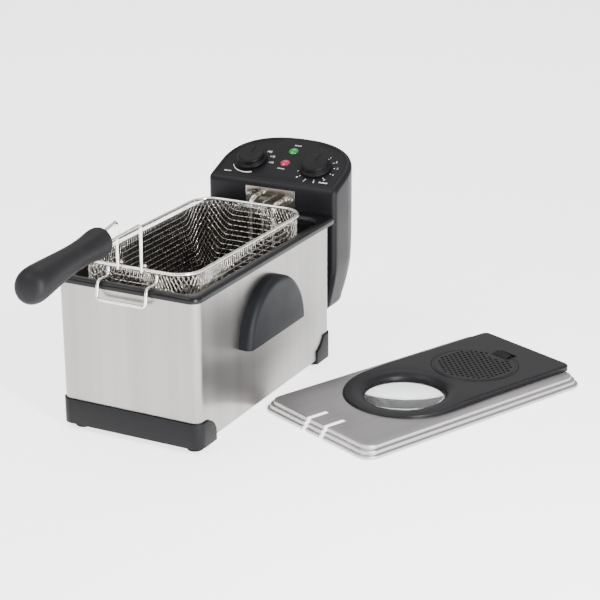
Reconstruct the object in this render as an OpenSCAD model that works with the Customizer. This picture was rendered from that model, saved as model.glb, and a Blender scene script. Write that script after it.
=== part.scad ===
// Deep fryer with a lift-out pot, a lift-off control head, a wire basket and a separate lid.
// Millimetres. X runs from the basket grip at the front to the control head at the rear, Z is up.
// The lid lies on the table beside the fryer.

/* [Housing] */
// Length of the steel housing from its front wall to its rear wall
body_length = 304; // [280:1:360]
// Width of the steel housing across its two side walls
body_width = 170; // [160:1:210]
// Height of the top edge of the steel housing above the table
body_top = 168; // [145:1:200]
// Thickness of the steel sheet
sheet = 0.8; // [0.6:0.1:1.2]

/* [Pot] */
// Height of the black rim above the housing
rim_height = 6; // [5:0.5:8]
// Height of the underside of the pot above the table
pot_floor = 22; // [20:1:40]

/* [Basket] */
// Width of the basket across its rim wire
basket_width = 137; // [110:1:142]
// Depth of the basket below its rim wire
basket_depth = 100; // [70:1:110]
// Length of the handle grip
grip_length = 130; // [115:1:170]

/* [Control head] */
// Depth of the control head from front to rear
head_depth = 88; // [84:1:100]
// Slope of the control panel in degrees
panel_slope = 22; // [18:1:24]
// Diameter of each control knob
knob_diameter = 38; // [32:1:40]

/* [Lid] */
// Length of the lid
lid_length = 326; // [310:1:350]
// Width of the lid
lid_width = 180; // [170:1:200]
// Diameter of the clear part of the window
window_diameter = 90; // [70:1:96]

/* [Choice] */
// Piece to draw

/* [Hidden] */

// Colours
steel = "#c2c0be";
bright = "#d6d2cc";
charcoal = "#3a3a3e";
black = "#242427";
enamel = "#2c2c2e";

// Housing
hx = body_length / 2;
hy = body_width / 2;
corner = 10;
floor_z = 12;
foot_h = 7.4;
trim_out = 1.8;
trim_floor = 3.4;
plate_t = floor_z - foot_h - trim_floor;
front_trim_top = 35.5;
front_trim_back = -hx + 33;
rear_trim_front = hx - 36;
foot_x = hx - 16;
foot_y = hy - 15;
base_screw_x = hx - 24;
base_screw_y = hy - 45;

// Side handles: half discs with a rounded edge, open underneath
handle_x = -2;
handle_z = body_top - 78.5;
handle_r = 64;
handle_out = 15;
handle_edge = 7;
handle_skin = 3;
handle_back = 2;
boss_dx = 42;
boss_z = handle_z + 9;
boss_len = 6;

// Pot
pot_x0 = -hx + 7;
pot_x1 = hx - 5;
pot_y = hy - 7;
pot_wall = 1.2;
pot_r = 20;
rim_out = 0.6;
rim_rear = hx + 13;
rim_top = body_top + rim_height;

// Rail that carries the control head
rail_x = rim_rear - 0.3;
rail_bottom = body_top - 98;
rail_top = body_top - 18;
rail_w = 60;
neck_w = 24;
tee_w = 36;
tee_t = 3;
rivet_z = [rail_bottom + 15, rail_top - 15];

// Control head
head_x = rim_rear + 0.1;
head_w = body_width;
head_wall = 3;
head_low = body_top - 113;
head_front_top = body_top + 36.5;
head_rear = head_x + head_depth;
head_top = head_front_top + head_depth * tan(panel_slope);
panel_in = 6;
panel_sink = 1.5;
panel_t = 1;
neck_gap = 0.3;
knob_x = 36.7;
knob_y = 43.2;
lamp_x = [40, 64];
lens_r = 6;
shaft_r = 3;
knob_h = 10.5;
switch_z = rail_top + 0.3;
button_z = body_top - 20;
// Depth of the head's inner wall below the panel plane, and height of the cutout's strip
body_drop = head_wall * cos(panel_slope);
strip_z = button_z + 18.5;
inlet_z = body_top - 62;

// Heating element
tube_r = 3.3;
leg_y = [12, -18];
leg_z = [body_top + 22, body_top + 17];
leg_x = pot_x1 - 9;
bend = 10;
coil_z = pot_floor + 17;
run_y = [55, 18.4];
turn_r = (run_y[0] - run_y[1]) / 2;
coil_front = pot_x0 + 42;
coil_mid = leg_x - 62;
strap_z = coil_z + 30;
plate_w = 65;
plate_low = rim_top + 3;
plate_high = body_top + 30;
screw_y = 28;
bulb_y = -3;
bulb_x = leg_x + 1;

// Basket, in its raised draining place
wire_r = 1.7;
basket_z = body_top + 22;
basket_x0 = -hx + 16;
basket_x1 = hx - 30;
basket_cx = (basket_x0 + basket_x1) / 2;
basket_len = basket_x1 - basket_x0;
basket_r = 24;
mesh_t = 1.2;
hook_y = 29.5;
hook_x = -hx - 8;
hook_z = rim_top + wire_r + 0.2;
hook_low = body_top - 9.5;
frame_r = 1.5;

// Handle, hinged on the front rim wire
pivot_x = basket_x0;
arm_y = 14.4;
arm_r = 1.7;
loop_r = wire_r + 1.2 + arm_r;
apex_x = pivot_x - 4;
apex_z = basket_z + 50;
grip_x = pivot_x - 55.6;
grip_z = apex_z - 5.2;
grip_droop = 5.2;
grip_r = 18.5;
tip_run = grip_length - grip_r;

// Lid
lid_cx = 99.4;
lid_gap = 1.635;
lid_turn = -24.15;
lid_r = 16;
lid_steps = [[0, 0, 4], [3, 4, 8.5], [6.5, 8.5, 13]];
lid_top = 13;
slot_w = 6;
slot_len = 33;
window_x = -lid_length / 2 + 132;
window_r = window_diameter / 2;
bezel_r = 69;
bezel_low = 15;
bezel_high = 20;
filter_x = window_x + 108;
filter_r = 50;
well_r = 46;
ledge_z = 17.3;
grid = 8;
hole_r = 2.3;
screw_ring = window_r + 13;

// Shift that puts the middle of the whole set over the origin
lid_dx = (lid_length / 2 - lid_r) * cos(lid_turn) + (lid_width / 2 - lid_r) * abs(sin(lid_turn)) + lid_r;
lid_dy = (lid_length / 2 - lid_r) * abs(sin(lid_turn)) + (lid_width / 2 - lid_r) * cos(lid_turn) + lid_r;
lid_cy = -hy - lid_gap - lid_dy;
set_x0 = grip_x - tip_run * cos(grip_droop) - grip_r;
set_x1 = max(lid_cx + lid_dx, head_rear);
set_y0 = lid_cy - lid_dy;
set_y1 = hy + handle_out;
shift = [-(set_x0 + set_x1) / 2, -(set_y0 + set_y1) / 2, 0];

// ---------------------------------------------------------------- shared shapes

// Puts a fryer piece in the shared frame
module on_fryer() {
    translate(shift)
        children();
}

// Puts a lid piece in the shared frame, turned on the table
module on_lid() {
    translate(shift + [lid_cx, lid_cy, 0])
        rotate([0, 0, lid_turn])
            children();
}

// Frame of the control panel: Z is its outward normal, X climbs the slope
module on_panel() {
    translate([head_x, 0, head_front_top])
        rotate([0, -panel_slope, 0])
            children();
}

// Rectangle with round corners, centred
module round_rect(l, w, r) {
    square([l - 2 * r, w], center = true);
    square([l, w - 2 * r], center = true);
    for (sx = [-1, 1], sy = [-1, 1])
        translate([sx * (l / 2 - r), sy * (w / 2 - r)])
            circle(r = r, $fn = 48);
}

// Rectangle with round corners between two X values, on the centre line
module span_rect(x0, x1, half, r) {
    translate([(x0 + x1) / 2, 0])
        round_rect(x1 - x0, 2 * half, r);
}

// Bar of round wire between two points on one straight line along X, Y or Z
module bar(p, q, r) {
    d = q - p;
    len = norm(d);
    translate(p)
        rotate([0, acos(d[2] / len), atan2(d[1], d[0])])
            cylinder(r = r, h = len, $fn = 24);
}

// Round bend of wire in the XY plane, centre at the origin
module elbow(turn_radius, r, from, sweep) {
    rotate([0, 0, from])
        rotate_extrude(angle = sweep, $fn = 48)
            translate([turn_radius, 0])
                circle(r = r, $fn = 24);
}

// Closed rounded rectangle of wire, centred, lying flat
module wire_ring(l, w, corner_radius, r) {
    a = l / 2 - corner_radius;
    b = w / 2 - corner_radius;
    for (s = [-1, 1]) {
        bar([-a, s * w / 2, 0], [a, s * w / 2, 0], r);
        bar([s * l / 2, -b, 0], [s * l / 2, b, 0], r);
    }
    for (k = [0 : 3])
        translate([(k == 0 || k == 3 ? 1 : -1) * a, (k < 2 ? 1 : -1) * b, 0])
            elbow(corner_radius, r, 90 * k, 90);
}

// Screw standing on its head, head below Z = 0
module screw(head_radius, head_h, shank_r, len) {
    translate([0, 0, -head_h])
        cylinder(r = head_radius, h = head_h, $fn = 24);
    cylinder(r = shank_r, h = len, $fn = 24);
}

// ---------------------------------------------------------------- fryer body

// Housing walls with a narrow flange turned in at the bottom
module housing_shell() {
    on_fryer() color(steel)
        difference() {
            translate([0, 0, floor_z])
                linear_extrude(body_top - floor_z)
                    round_rect(body_length, body_width, corner);
            translate([0, 0, floor_z + sheet])
                linear_extrude(body_top)
                    round_rect(body_length - 2 * sheet, body_width - 2 * sheet, corner - sheet);
            translate([0, 0, floor_z - 1])
                linear_extrude(sheet + 2)
                    round_rect(body_length - 70, body_width - 40, corner);
            for (sx = [-1, 1], sy = [-1, 1])
                translate([sx * base_screw_x, sy * base_screw_y, floor_z - 1])
                    cylinder(r = 1.9, h = 3, $fn = 24);
            for (s = [-1, 1], d = [-1, 1])
                translate([handle_x + d * boss_dx, s * hy, boss_z])
                    rotate([90, 0, 0])
                        cylinder(r = 1.7, h = 4, center = true, $fn = 24);
            for (s = [-1, 1], z = rivet_z)
                translate([hx, s * 22, z])
                    rotate([0, 90, 0])
                        cylinder(r = 2, h = 4, center = true, $fn = 24);
        }
}

// Steel plate that closes the underside
module base_plate() {
    on_fryer() color(steel)
        translate([0, 0, floor_z - plate_t])
            linear_extrude(plate_t)
                difference() {
                    round_rect(body_length - 6, body_width - 6, corner);
                    for (sx = [-1, 1], sy = [-1, 1])
                        translate([sx * base_screw_x, sy * base_screw_y])
                            circle(r = 1.9, $fn = 24);
                    for (x = [-60 : 20 : 60])
                        translate([x, 0])
                            square([6, 50], center = true);
                }
}

// Band round the outside of the housing with a floor under it
module trim_band(height) {
    difference() {
        translate([0, 0, foot_h])
            linear_extrude(height - foot_h)
                round_rect(body_length + 2 * trim_out, body_width + 2 * trim_out, corner + trim_out);
        translate([0, 0, floor_z])
            linear_extrude(height)
                round_rect(body_length, body_width, corner);
        translate([0, 0, foot_h + trim_floor])
            linear_extrude(plate_t + 1)
                round_rect(body_length - 6, body_width - 6, corner);
        for (sx = [-1, 1], sy = [-1, 1]) {
            translate([sx * base_screw_x, sy * base_screw_y, foot_h - 1])
                cylinder(r = 1.9, h = trim_floor + 2, $fn = 24);
            translate([sx * foot_x, sy * foot_y, foot_h - 1])
                cylinder(r = 3, h = trim_floor + 2, $fn = 24);
        }
    }
}

// Front trim, ending on each side in a quarter round
module front_trim() {
    cut = front_trim_top - foot_h;
    on_fryer() color(charcoal)
        intersection() {
            trim_band(front_trim_top);
            rotate([90, 0, 0])
                linear_extrude(body_width + 20, center = true) {
                    translate([-hx - 10, foot_h - 1])
                        square([front_trim_back + hx + 10 - cut + 8, cut + 2]);
                    translate([-hx - 10, foot_h - 1])
                        square([front_trim_back + hx + 10, cut - 19]);
                    translate([front_trim_back - 20, front_trim_top - 20])
                        circle(r = 20, $fn = 48);
                }
        }
}

// Rear trim, sweeping up along a hollow curve towards the rear wall
module rear_trim() {
    top = 38;
    low = 21;
    on_fryer() color(charcoal)
        intersection() {
            trim_band(top);
            rotate([90, 0, 0])
                linear_extrude(body_width + 20, center = true)
                    difference() {
                        translate([rear_trim_front, foot_h - 1])
                            square([hx - rear_trim_front + 10, top]);
                        translate([rear_trim_front - 10, low + 30])
                            circle(r = 30, $fn = 64);
                        translate([rear_trim_front - 30, low + 6])
                            square([36, 40]);
                    }
        }
}

// Four rubber feet, each held by a stem in the trim floor
module rubber_feet() {
    on_fryer() color(black)
        for (sx = [-1, 1], sy = [-1, 1])
            translate([sx * foot_x, sy * foot_y, 0]) {
                cylinder(r = 9, h = foot_h, $fn = 36);
                cylinder(r = 3, h = foot_h + trim_floor, $fn = 24);
            }
}

// Screws up through the trims, the base plate and the housing flange
module base_screws() {
    on_fryer() color(bright)
        for (sx = [-1, 1], sy = [-1, 1])
            translate([sx * base_screw_x, sy * base_screw_y, foot_h])
                screw(3.6, 2.2, 1.9, 8);
}

// Disc of the side handle with a rounded edge, drawn in by t, turned about the Y axis
module handle_cap(t, base) {
    rotate([-90, 0, 0])
        rotate_extrude($fn = 120)
            union() {
                translate([0, base])
                    square([handle_r - t, handle_out - handle_edge - base]);
                translate([0, base])
                    square([handle_r - handle_edge, handle_out - t - base]);
                translate([handle_r - handle_edge, handle_out - handle_edge])
                    circle(r = handle_edge - t, $fn = 48);
            }
}

// Side handle with an open underside for the fingers, drawn on the +Y wall
module side_handle() {
    translate([handle_x, hy, handle_z])
        intersection() {
            translate([-100, 0, 0])
                cube([200, 60, 80]);
            difference() {
                union() {
                    difference() {
                        handle_cap(0, 0);
                        handle_cap(handle_skin, handle_back);
                    }
                    for (d = [-1, 1])
                        translate([d * boss_dx, 0, boss_z - handle_z])
                            rotate([-90, 0, 0])
                                cylinder(r = 4, h = boss_len, $fn = 24);
                }
                for (d = [-1, 1])
                    translate([d * boss_dx, -1, boss_z - handle_z])
                        rotate([-90, 0, 0])
                            cylinder(r = 1.5, h = boss_len, $fn = 24);
            }
        }
}

module side_handle_left() {
    on_fryer() color(charcoal)
        side_handle();
}

module side_handle_right() {
    on_fryer() color(charcoal)
        mirror([0, 1, 0])
            side_handle();
}

// Screws from inside the housing into the side handle bosses
module handle_screws() {
    on_fryer() color(bright)
        for (s = [-1, 1], d = [-1, 1])
            translate([handle_x + d * boss_dx, s * (hy - sheet), boss_z])
                rotate([-90 * s, 0, 0])
                    screw(3.2, 2, 1.5, sheet + boss_len - 1);
}

// Rail on the rear wall with a tee that the control head hangs on
module head_rail() {
    on_fryer() color(black)
        translate([0, 0, rail_bottom])
            difference() {
                linear_extrude(rail_top - rail_bottom) {
                    translate([hx, -rail_w / 2])
                        square([rail_x - hx, rail_w]);
                    translate([rail_x - 1, -neck_w / 2])
                        square([head_x + head_wall + 0.4 - rail_x + 1, neck_w]);
                    translate([head_x + head_wall + 0.3, -tee_w / 2])
                        square([tee_t, tee_w]);
                }
                for (s = [-1, 1], z = rivet_z)
                    translate([hx - 1, s * 22, z - rail_bottom])
                        rotate([0, 90, 0])
                            cylinder(r = 2, h = 8, $fn = 24);
            }
}

// Rivets that hold the rail to the rear wall from inside
module rail_rivets() {
    on_fryer() color(bright)
        for (s = [-1, 1], z = rivet_z)
            translate([hx - sheet, s * 22, z])
                rotate([0, 90, 0])
                    screw(3.4, 1.6, 2, sheet + 6);
}

// ---------------------------------------------------------------- pot

// Lift-out pot: a deep pan hanging by a wide rim that reaches past the rear wall
module oil_pot() {
    on_fryer() color(enamel)
        difference() {
            union() {
                translate([0, 0, body_top])
                    linear_extrude(rim_height)
                        span_rect(-hx - rim_out, rim_rear, hy + rim_out, corner + rim_out);
                translate([0, 0, pot_floor])
                    linear_extrude(body_top - pot_floor + 1)
                        span_rect(pot_x0, pot_x1, pot_y, pot_r);
            }
            translate([0, 0, pot_floor + pot_wall])
                linear_extrude(body_top)
                    span_rect(pot_x0 + pot_wall, pot_x1 - pot_wall, pot_y - pot_wall, pot_r - pot_wall);
            translate([0, 0, body_top - 1])
                linear_extrude(rim_height - 0.6)
                    difference() {
                        span_rect(-hx - rim_out + 1.2, rim_rear - 1.2, hy + rim_out - 1.2, corner);
                        span_rect(-hx + 3, rim_rear - 13, hy - 3, pot_r);
                    }
        }
}

// ---------------------------------------------------------------- control head

// Plan of the head, drawn in by t all round: straight sides and a bowed rear
module head_plan(t) {
    intersection() {
        translate([head_x + t, -head_w / 2 + t])
            square([head_depth, head_w - 2 * t]);
        translate([head_rear - 122, 0])
            circle(r = 122 - t, $fn = 128);
        union() {
            translate([head_x, -head_w / 2 + t])
                square([head_depth - 52, head_w - 2 * t]);
            translate([head_x, -head_w / 2 + 52])
                square([head_depth, head_w - 104]);
            for (s = [-1, 1])
                translate([head_rear - 52, s * (head_w / 2 - 52)])
                    circle(r = 52 - t, $fn = 96);
        }
    }
}

// Outside of the head drawn in by t: the plan cut by a sloping top and a tapered foot
module head_form(t) {
    intersection() {
        linear_extrude(head_top + 20)
            head_plan(t);
        rotate([90, 0, 0])
            linear_extrude(head_w + 20, center = true)
                polygon([
                    [head_x - 5, head_low + t],
                    [head_rear - 24, head_low + t],
                    [head_rear - 4 - t, head_low + 40],
                    [head_rear + 5 - t, head_low + 110],
                    [head_rear + 5, head_top + 5 * tan(panel_slope) - t],
                    [head_x - 5, head_front_top - 5 * tan(panel_slope) - t]
                ]);
        rotate([90, 0, 90])
            linear_extrude(head_rear + 20)
                polygon([
                    [-head_w / 2 + 12 + t, head_low - 1],
                    [head_w / 2 - 12 - t, head_low - 1],
                    [head_w / 2 + 1 - t, head_low + 60],
                    [head_w / 2 + 1 - t, head_top + 30],
                    [-head_w / 2 - 1 + t, head_top + 30],
                    [-head_w / 2 - 1 + t, head_low + 60]
                ]);
    }
}

// Outline of the sloping panel drawn in by t, in panel coordinates
module panel_plan(t) {
    run = head_depth / cos(panel_slope);
    intersection() {
        translate([t, -head_w / 2 + t])
            square([run - 2 * t, head_w - 2 * t]);
        union() {
            translate([t, -head_w / 2 + t])
                square([run - 56 - t, head_w - 2 * t]);
            translate([t, -head_w / 2 + 56])
                square([run - 2 * t, head_w - 112]);
            for (s = [-1, 1])
                translate([run - 56, s * (head_w / 2 - 56)])
                    circle(r = 56 - t, $fn = 96);
        }
        translate([run - 128, 0])
            circle(r = 128 - t, $fn = 128);
    }
}

// Hollow head, open underneath, with the panel recess and all its wall openings
module head_shell() {
    on_fryer() color(black)
        difference() {
            head_form(0);
            intersection() {
                head_form(head_wall);
                translate([head_x + head_wall, -head_w, head_low - 1])
                    cube([head_depth, 2 * head_w, 400]);
            }
            translate([head_x + head_wall, -head_w / 2 + 20, head_low - 1])
                cube([head_depth - 44, head_w - 40, 6]);
            on_panel()
                translate([0, 0, -panel_sink])
                    linear_extrude(20)
                        panel_plan(panel_in);
            on_panel()
                panel_holes(0.4);
            translate([head_x - 1, -neck_w / 2 - neck_gap, head_low - 1])
                cube([head_wall + 2, neck_w + 2 * neck_gap, rail_top - head_low + 1]);
            for (k = [0, 1])
                translate([head_x - 1, leg_y[k], leg_z[k]])
                    rotate([0, 90, 0])
                        cylinder(r = tube_r, h = head_wall + 2, $fn = 24);
            for (s = [-1, 1])
                translate([head_x - 1, s * screw_y, body_top + 19])
                    rotate([0, 90, 0])
                        cylinder(r = 1.6, h = head_wall + 2, $fn = 24);
            translate([head_x - 1, bulb_y, body_top + 19])
                rotate([0, 90, 0])
                    cylinder(r = 1.2, h = head_wall + 2, $fn = 24);
            translate([head_rear - 10, 0, button_z])
                rotate([0, 90, 0])
                    cylinder(r = 4.3, h = 20, $fn = 24);
            translate([head_rear - 40, -15, inlet_z - 11])
                cube([60, 30, 22]);
        }
}

// Holes through the panel for the two shafts and the two lamps
module panel_holes(gap) {
    for (s = [-1, 1])
        translate([knob_x, s * knob_y, -20])
            cylinder(r = shaft_r + gap, h = 40, $fn = 24);
    for (x = lamp_x)
        translate([x, 0, -20])
            cylinder(r = lens_r, h = 40, $fn = 36);
}

// Flat cover under the head, let into its open foot
module head_base_cover() {
    on_fryer() color(black)
        difference() {
            translate([head_x + head_wall + 0.1, -head_w / 2 + 20.1, head_low])
                cube([head_depth - 44.2, head_w - 40.2, 3]);
            translate([head_x, -neck_w / 2 - 8, head_low - 1])
                cube([head_wall + 8, neck_w + 16, 6]);
            for (s = [-1, 1])
                translate([head_x + head_depth / 2, s * (head_w / 2 - 26), head_low - 1])
                    cylinder(r = 1.6, h = 5, $fn = 24);
        }
}

// Screws that hold the base cover to the posts of the terminal block
module cover_screws() {
    on_fryer() color(bright)
        for (s = [-1, 1])
            translate([head_x + head_depth / 2, s * (head_w / 2 - 26), head_low])
                screw(3, 1.8, 1.6, 9);
}

// Thin printed panel in the recess on top of the head
module control_panel() {
    on_fryer() color("#38383c")
        on_panel()
            translate([0, 0, -panel_sink])
                difference() {
                    linear_extrude(panel_t)
                        panel_plan(panel_in);
                    translate([0, 0, panel_sink])
                        panel_holes(0.4);
                }
}

// Steel plate on the front of the head that carries the heating element
module element_plate() {
    on_fryer() color(bright)
        difference() {
            translate([head_x - 1.8, -plate_w / 2, plate_low])
                cube([1.8, plate_w, plate_high - plate_low]);
            for (k = [0, 1])
                translate([head_x - 3, leg_y[k], leg_z[k]])
                    rotate([0, 90, 0])
                        cylinder(r = tube_r, h = 4, $fn = 24);
            for (s = [-1, 1])
                translate([head_x - 3, s * screw_y, body_top + 19])
                    rotate([0, 90, 0])
                        cylinder(r = 1.6, h = 4, $fn = 24);
            translate([head_x - 3, bulb_y, body_top + 19])
                rotate([0, 90, 0])
                    cylinder(r = 1.2, h = 4, $fn = 24);
        }
}

module plate_screws() {
    on_fryer() color(bright)
        for (s = [-1, 1])
            translate([head_x - 1.8, s * screw_y, body_top + 19])
                rotate([0, 90, 0])
                    screw(3.2, 1.8, 1.6, 10);
}

// One leg of the element: out of the head, down into the pot and out to its side run
module element_leg(y, z, side) {
    bar([head_x + 12, y, z], [leg_x + bend, y, z], tube_r);
    translate([leg_x + bend, y, z - bend])
        rotate([90, 0, 0])
            elbow(bend, tube_r, 90, 90);
    bar([leg_x, y, z - bend], [leg_x, y, coil_z + bend], tube_r);
    translate([leg_x, y + side * bend, coil_z + bend])
        rotate([90, 0, 90])
            elbow(bend, tube_r, side > 0 ? 180 : 270, 90);
    bar([leg_x, y + side * bend, coil_z], [leg_x, side * (run_y[0] - bend), coil_z], tube_r);
    translate([leg_x - bend, side * (run_y[0] - bend), coil_z])
        elbow(bend, tube_r, side > 0 ? 0 : 270, 90);
    bar([leg_x - bend, side * run_y[0], coil_z], [coil_front, side * run_y[0], coil_z], tube_r);
    translate([coil_front, side * (run_y[0] + run_y[1]) / 2, coil_z])
        elbow(turn_r, tube_r, 90, 180);
    bar([coil_front, side * run_y[1], coil_z], [coil_mid, side * run_y[1], coil_z], tube_r);
}

// Tube heater: two legs joined by a double loop low in the pot
module heating_element() {
    on_fryer() color("#8d8a86") {
        element_leg(leg_y[0], leg_z[0], 1);
        element_leg(leg_y[1], leg_z[1], -1);
        translate([coil_mid, 0, coil_z])
            elbow(run_y[1], tube_r, 270, 180);
    }
}

// Strap that ties the two legs together and carries the thermostat bulb
module element_bracket() {
    on_fryer() color(steel)
        difference() {
            translate([leg_x - 6, leg_y[1] - 8, strap_z])
                cube([13, leg_y[0] - leg_y[1] + 16, 2]);
            for (y = leg_y)
                translate([leg_x, y, strap_z - 1])
                    cylinder(r = tube_r, h = 4, $fn = 24);
            translate([bulb_x, bulb_y, strap_z - 1])
                cylinder(r = 3, h = 4, $fn = 24);
        }
}

// Thermostat bulb with its thin tube running up into the head
module thermostat_bulb() {
    z = body_top + 19;
    on_fryer() color("#b98a5a") {
        bar([head_x + 12, bulb_y, z], [bulb_x + 6, bulb_y, z], 1.2);
        translate([bulb_x + 6, bulb_y, z - 6])
            rotate([90, 0, 0])
                elbow(6, 1.2, 90, 90);
        bar([bulb_x, bulb_y, z - 6], [bulb_x, bulb_y, strap_z + 40], 1.2);
        bar([bulb_x, bulb_y, strap_z + 40], [bulb_x, bulb_y, strap_z - 8], 3);
    }
}

// Round switch body under the panel with a bushing for its shaft
module control_body(side, height) {
    on_panel()
        translate([knob_x, side * knob_y, -body_drop])
            difference() {
                translate([0, 0, -height])
                    cylinder(r = 17, h = height, $fn = 48);
                translate([0, 0, -height + 4])
                    cylinder(r = shaft_r + 0.05, h = height, $fn = 24);
            }
}

module thermostat_body() {
    on_fryer() color(bright)
        control_body(-1, 22);
}

module timer_body() {
    on_fryer() color("#d9d4c6")
        control_body(1, 26);
}

// Shaft from inside a switch body up into its knob
module control_shaft(side, height) {
    on_panel()
        translate([knob_x, side * knob_y, -body_drop - height + 4.1])
            cylinder(r = shaft_r, h = body_drop + height + 4.9, $fn = 24);
}

module thermostat_shaft() {
    on_fryer() color(steel)
        control_shaft(-1, 22);
}

module timer_shaft() {
    on_fryer() color(steel)
        control_shaft(1, 26);
}

// Knob: a skirt, a round body and a raised pointer, bored for the shaft
module control_knob(side) {
    r = knob_diameter / 2;
    on_panel()
        translate([knob_x, side * knob_y, 0])
            difference() {
                union() {
                    translate([0, 0, 0.2])
                        cylinder(r = r, h = 4.5, $fn = 64);
                    cylinder(r = r - 2.6, h = knob_h - 1.2, $fn = 64);
                    translate([0, 0, knob_h - 1.2])
                        cylinder(r1 = r - 2.6, r2 = r - 3.8, h = 1.2, $fn = 64);
                    translate([0, -1, knob_h - 1])
                        cube([r - 5.4, 2, 1.6]);
                }
                translate([0, 0, -1])
                    cylinder(r = shaft_r, h = 10, $fn = 24);
            }
}

module thermostat_knob() {
    on_fryer() color(black)
        control_knob(-1);
}

module timer_knob() {
    on_fryer() color(black)
        control_knob(1);
}

// Lamp lens: a round plug through the panel with a low dome
module lens(x) {
    dome = 2.6;
    ball = (lens_r * lens_r + dome * dome) / (2 * dome);
    on_panel()
        translate([x, 0, 0]) {
            translate([0, 0, -head_wall - 2])
                cylinder(r = lens_r, h = head_wall + 2, $fn = 36);
            intersection() {
                translate([0, 0, dome - ball])
                    sphere(r = ball, $fn = 64);
                cylinder(r = lens_r + 1, h = 5, $fn = 36);
            }
        }
}

module power_lens() {
    on_fryer() color("#b8375a")
        lens(lamp_x[0]);
}

module ready_lens() {
    on_fryer() color("#3fae55")
        lens(lamp_x[1]);
}

// Two small lamps, each in a holder against its lens
module lamp_bulbs() {
    on_fryer() color("#efe6c8")
        on_panel()
            for (x = lamp_x)
                translate([x, 0, -head_wall - 2]) {
                    translate([0, 0, -8])
                        cylinder(r = 2.4, h = 8, $fn = 24);
                    translate([0, 0, -12])
                        cylinder(r = 4, h = 4, $fn = 24);
                }
}

// Overheat cutout standing behind its reset button
module thermal_cutout() {
    on_fryer() color("#6b4a34")
        difference() {
            union() {
                translate([head_rear - 30, 0, button_z])
                    rotate([0, 90, 0])
                        cylinder(r = 9, h = 14, $fn = 36);
                translate([head_x + head_wall, -6, strip_z])
                    cube([head_depth - head_wall - 20, 12, 2]);
                translate([head_rear - 30, -6, button_z])
                    cube([3, 12, strip_z - button_z + 2]);
            }
            translate([head_rear - 22, 0, button_z])
                rotate([0, 90, 0])
                    cylinder(r = 3.05, h = 20, $fn = 24);
        }
}

// Reset button: a stem in the cutout and a round head just inside the rear wall opening
module reset_button() {
    on_fryer() color("#a32a2a")
        translate([head_rear, 0, button_z])
            rotate([0, -90, 0]) {
                translate([0, 0, -1.5])
                    cylinder(r = 4, h = 6, $fn = 36);
                cylinder(r = 3, h = 19, $fn = 24);
            }
}

// Switch that is closed only while the head hangs on its rail
module safety_switch() {
    on_fryer() color("#3b3b40")
        difference() {
            translate([head_x + head_wall, -8, switch_z + 3.5])
                cube([12, 16, 12]);
            translate([head_x + head_wall + 4, 0, switch_z + 3])
                cylinder(r = 2.05, h = 9, $fn = 24);
        }
}

module switch_plunger() {
    on_fryer() color("#c8462e")
        translate([head_x + head_wall + 4, 0, switch_z])
            cylinder(r = 2, h = 9, $fn = 24);
}

// Inlet block at the rear with an open socket
module power_inlet() {
    on_fryer() color("#1d1d20")
        difference() {
            translate([head_rear - 38, -15, inlet_z - 11])
                cube([34, 30, 22]);
            translate([head_rear - 20, -11.5, inlet_z - 7.5])
                cube([20, 23, 15]);
            for (p = [[-7, -2], [7, -2], [0, 3]])
                translate([head_rear - 30, p[0], inlet_z + p[1]])
                    rotate([0, 90, 0])
                        cylinder(r = 1.6, h = 20, $fn = 24);
        }
}

module inlet_pins() {
    on_fryer() color(bright)
        for (p = [[-7, -2], [7, -2], [0, 3]])
            translate([head_rear - 30, p[0], inlet_z + p[1]])
                rotate([0, 90, 0])
                    cylinder(r = 1.6, h = 22, $fn = 24);
}

// Terminal block on a bar between two posts that stand on the base cover
module terminal_block() {
    y = head_w / 2 - 26;
    on_fryer() color("#ddd8cc")
        translate([head_x + head_depth / 2, 0, head_low + 3])
            difference() {
                union() {
                    for (s = [-1, 1])
                        translate([0, s * y, 0])
                            cylinder(r = 4, h = 12, $fn = 24);
                    translate([-3, -y, 9])
                        cube([6, 2 * y, 3]);
                    translate([-8, 20, 12])
                        cube([16, 26, 10]);
                }
                for (s = [-1, 1])
                    translate([0, s * y, -1])
                        cylinder(r = 1.6, h = 7, $fn = 24);
            }
}

// ---------------------------------------------------------------- basket

module on_basket() {
    translate([basket_cx, 0, basket_z])
        children();
}

// Mesh walls and floor as one thin skin
module basket_mesh() {
    l = basket_len - wire_r * 2;
    w = basket_width - wire_r * 2;
    on_fryer() color(bright)
        on_basket()
            difference() {
                translate([0, 0, -basket_depth])
                    linear_extrude(basket_depth)
                        round_rect(l, w, basket_r);
                translate([0, 0, -basket_depth + mesh_t])
                    linear_extrude(basket_depth)
                        round_rect(l - 2 * mesh_t, w - 2 * mesh_t, basket_r - mesh_t);
                for (s = [-1, 1])
                    translate([-l / 2 - 1, s * arm_y - arm_r - 0.4, -loop_r - arm_r - 0.6])
                        cube([6, 2 * arm_r + 0.8, 20]);
            }
}

module basket_rim() {
    on_fryer() color(bright)
        on_basket()
            wire_ring(basket_len, basket_width, basket_r + wire_r, wire_r);
}

// Front hook: arms from the rim out over the pot rim, down the front and joined by a bar
module basket_hook() {
    on_fryer() color(bright)
        for (s = [-1, 1]) {
            bar([basket_x0, s * hook_y, basket_z - wire_r], [basket_x0, s * hook_y, hook_z], wire_r);
            translate([basket_x0, s * hook_y, hook_z])
                sphere(r = wire_r, $fn = 24);
            bar([basket_x0, s * hook_y, hook_z], [hook_x, s * hook_y, hook_z], wire_r);
            translate([hook_x, s * hook_y, hook_z])
                sphere(r = wire_r, $fn = 24);
            bar([hook_x, s * hook_y, hook_z], [hook_x, s * hook_y, hook_low], wire_r);
            translate([hook_x, s * hook_y, hook_low])
                sphere(r = wire_r, $fn = 24);
            if (s > 0)
                bar([hook_x, -hook_y, hook_low], [hook_x, hook_y, hook_low], wire_r);
        }
}

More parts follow.
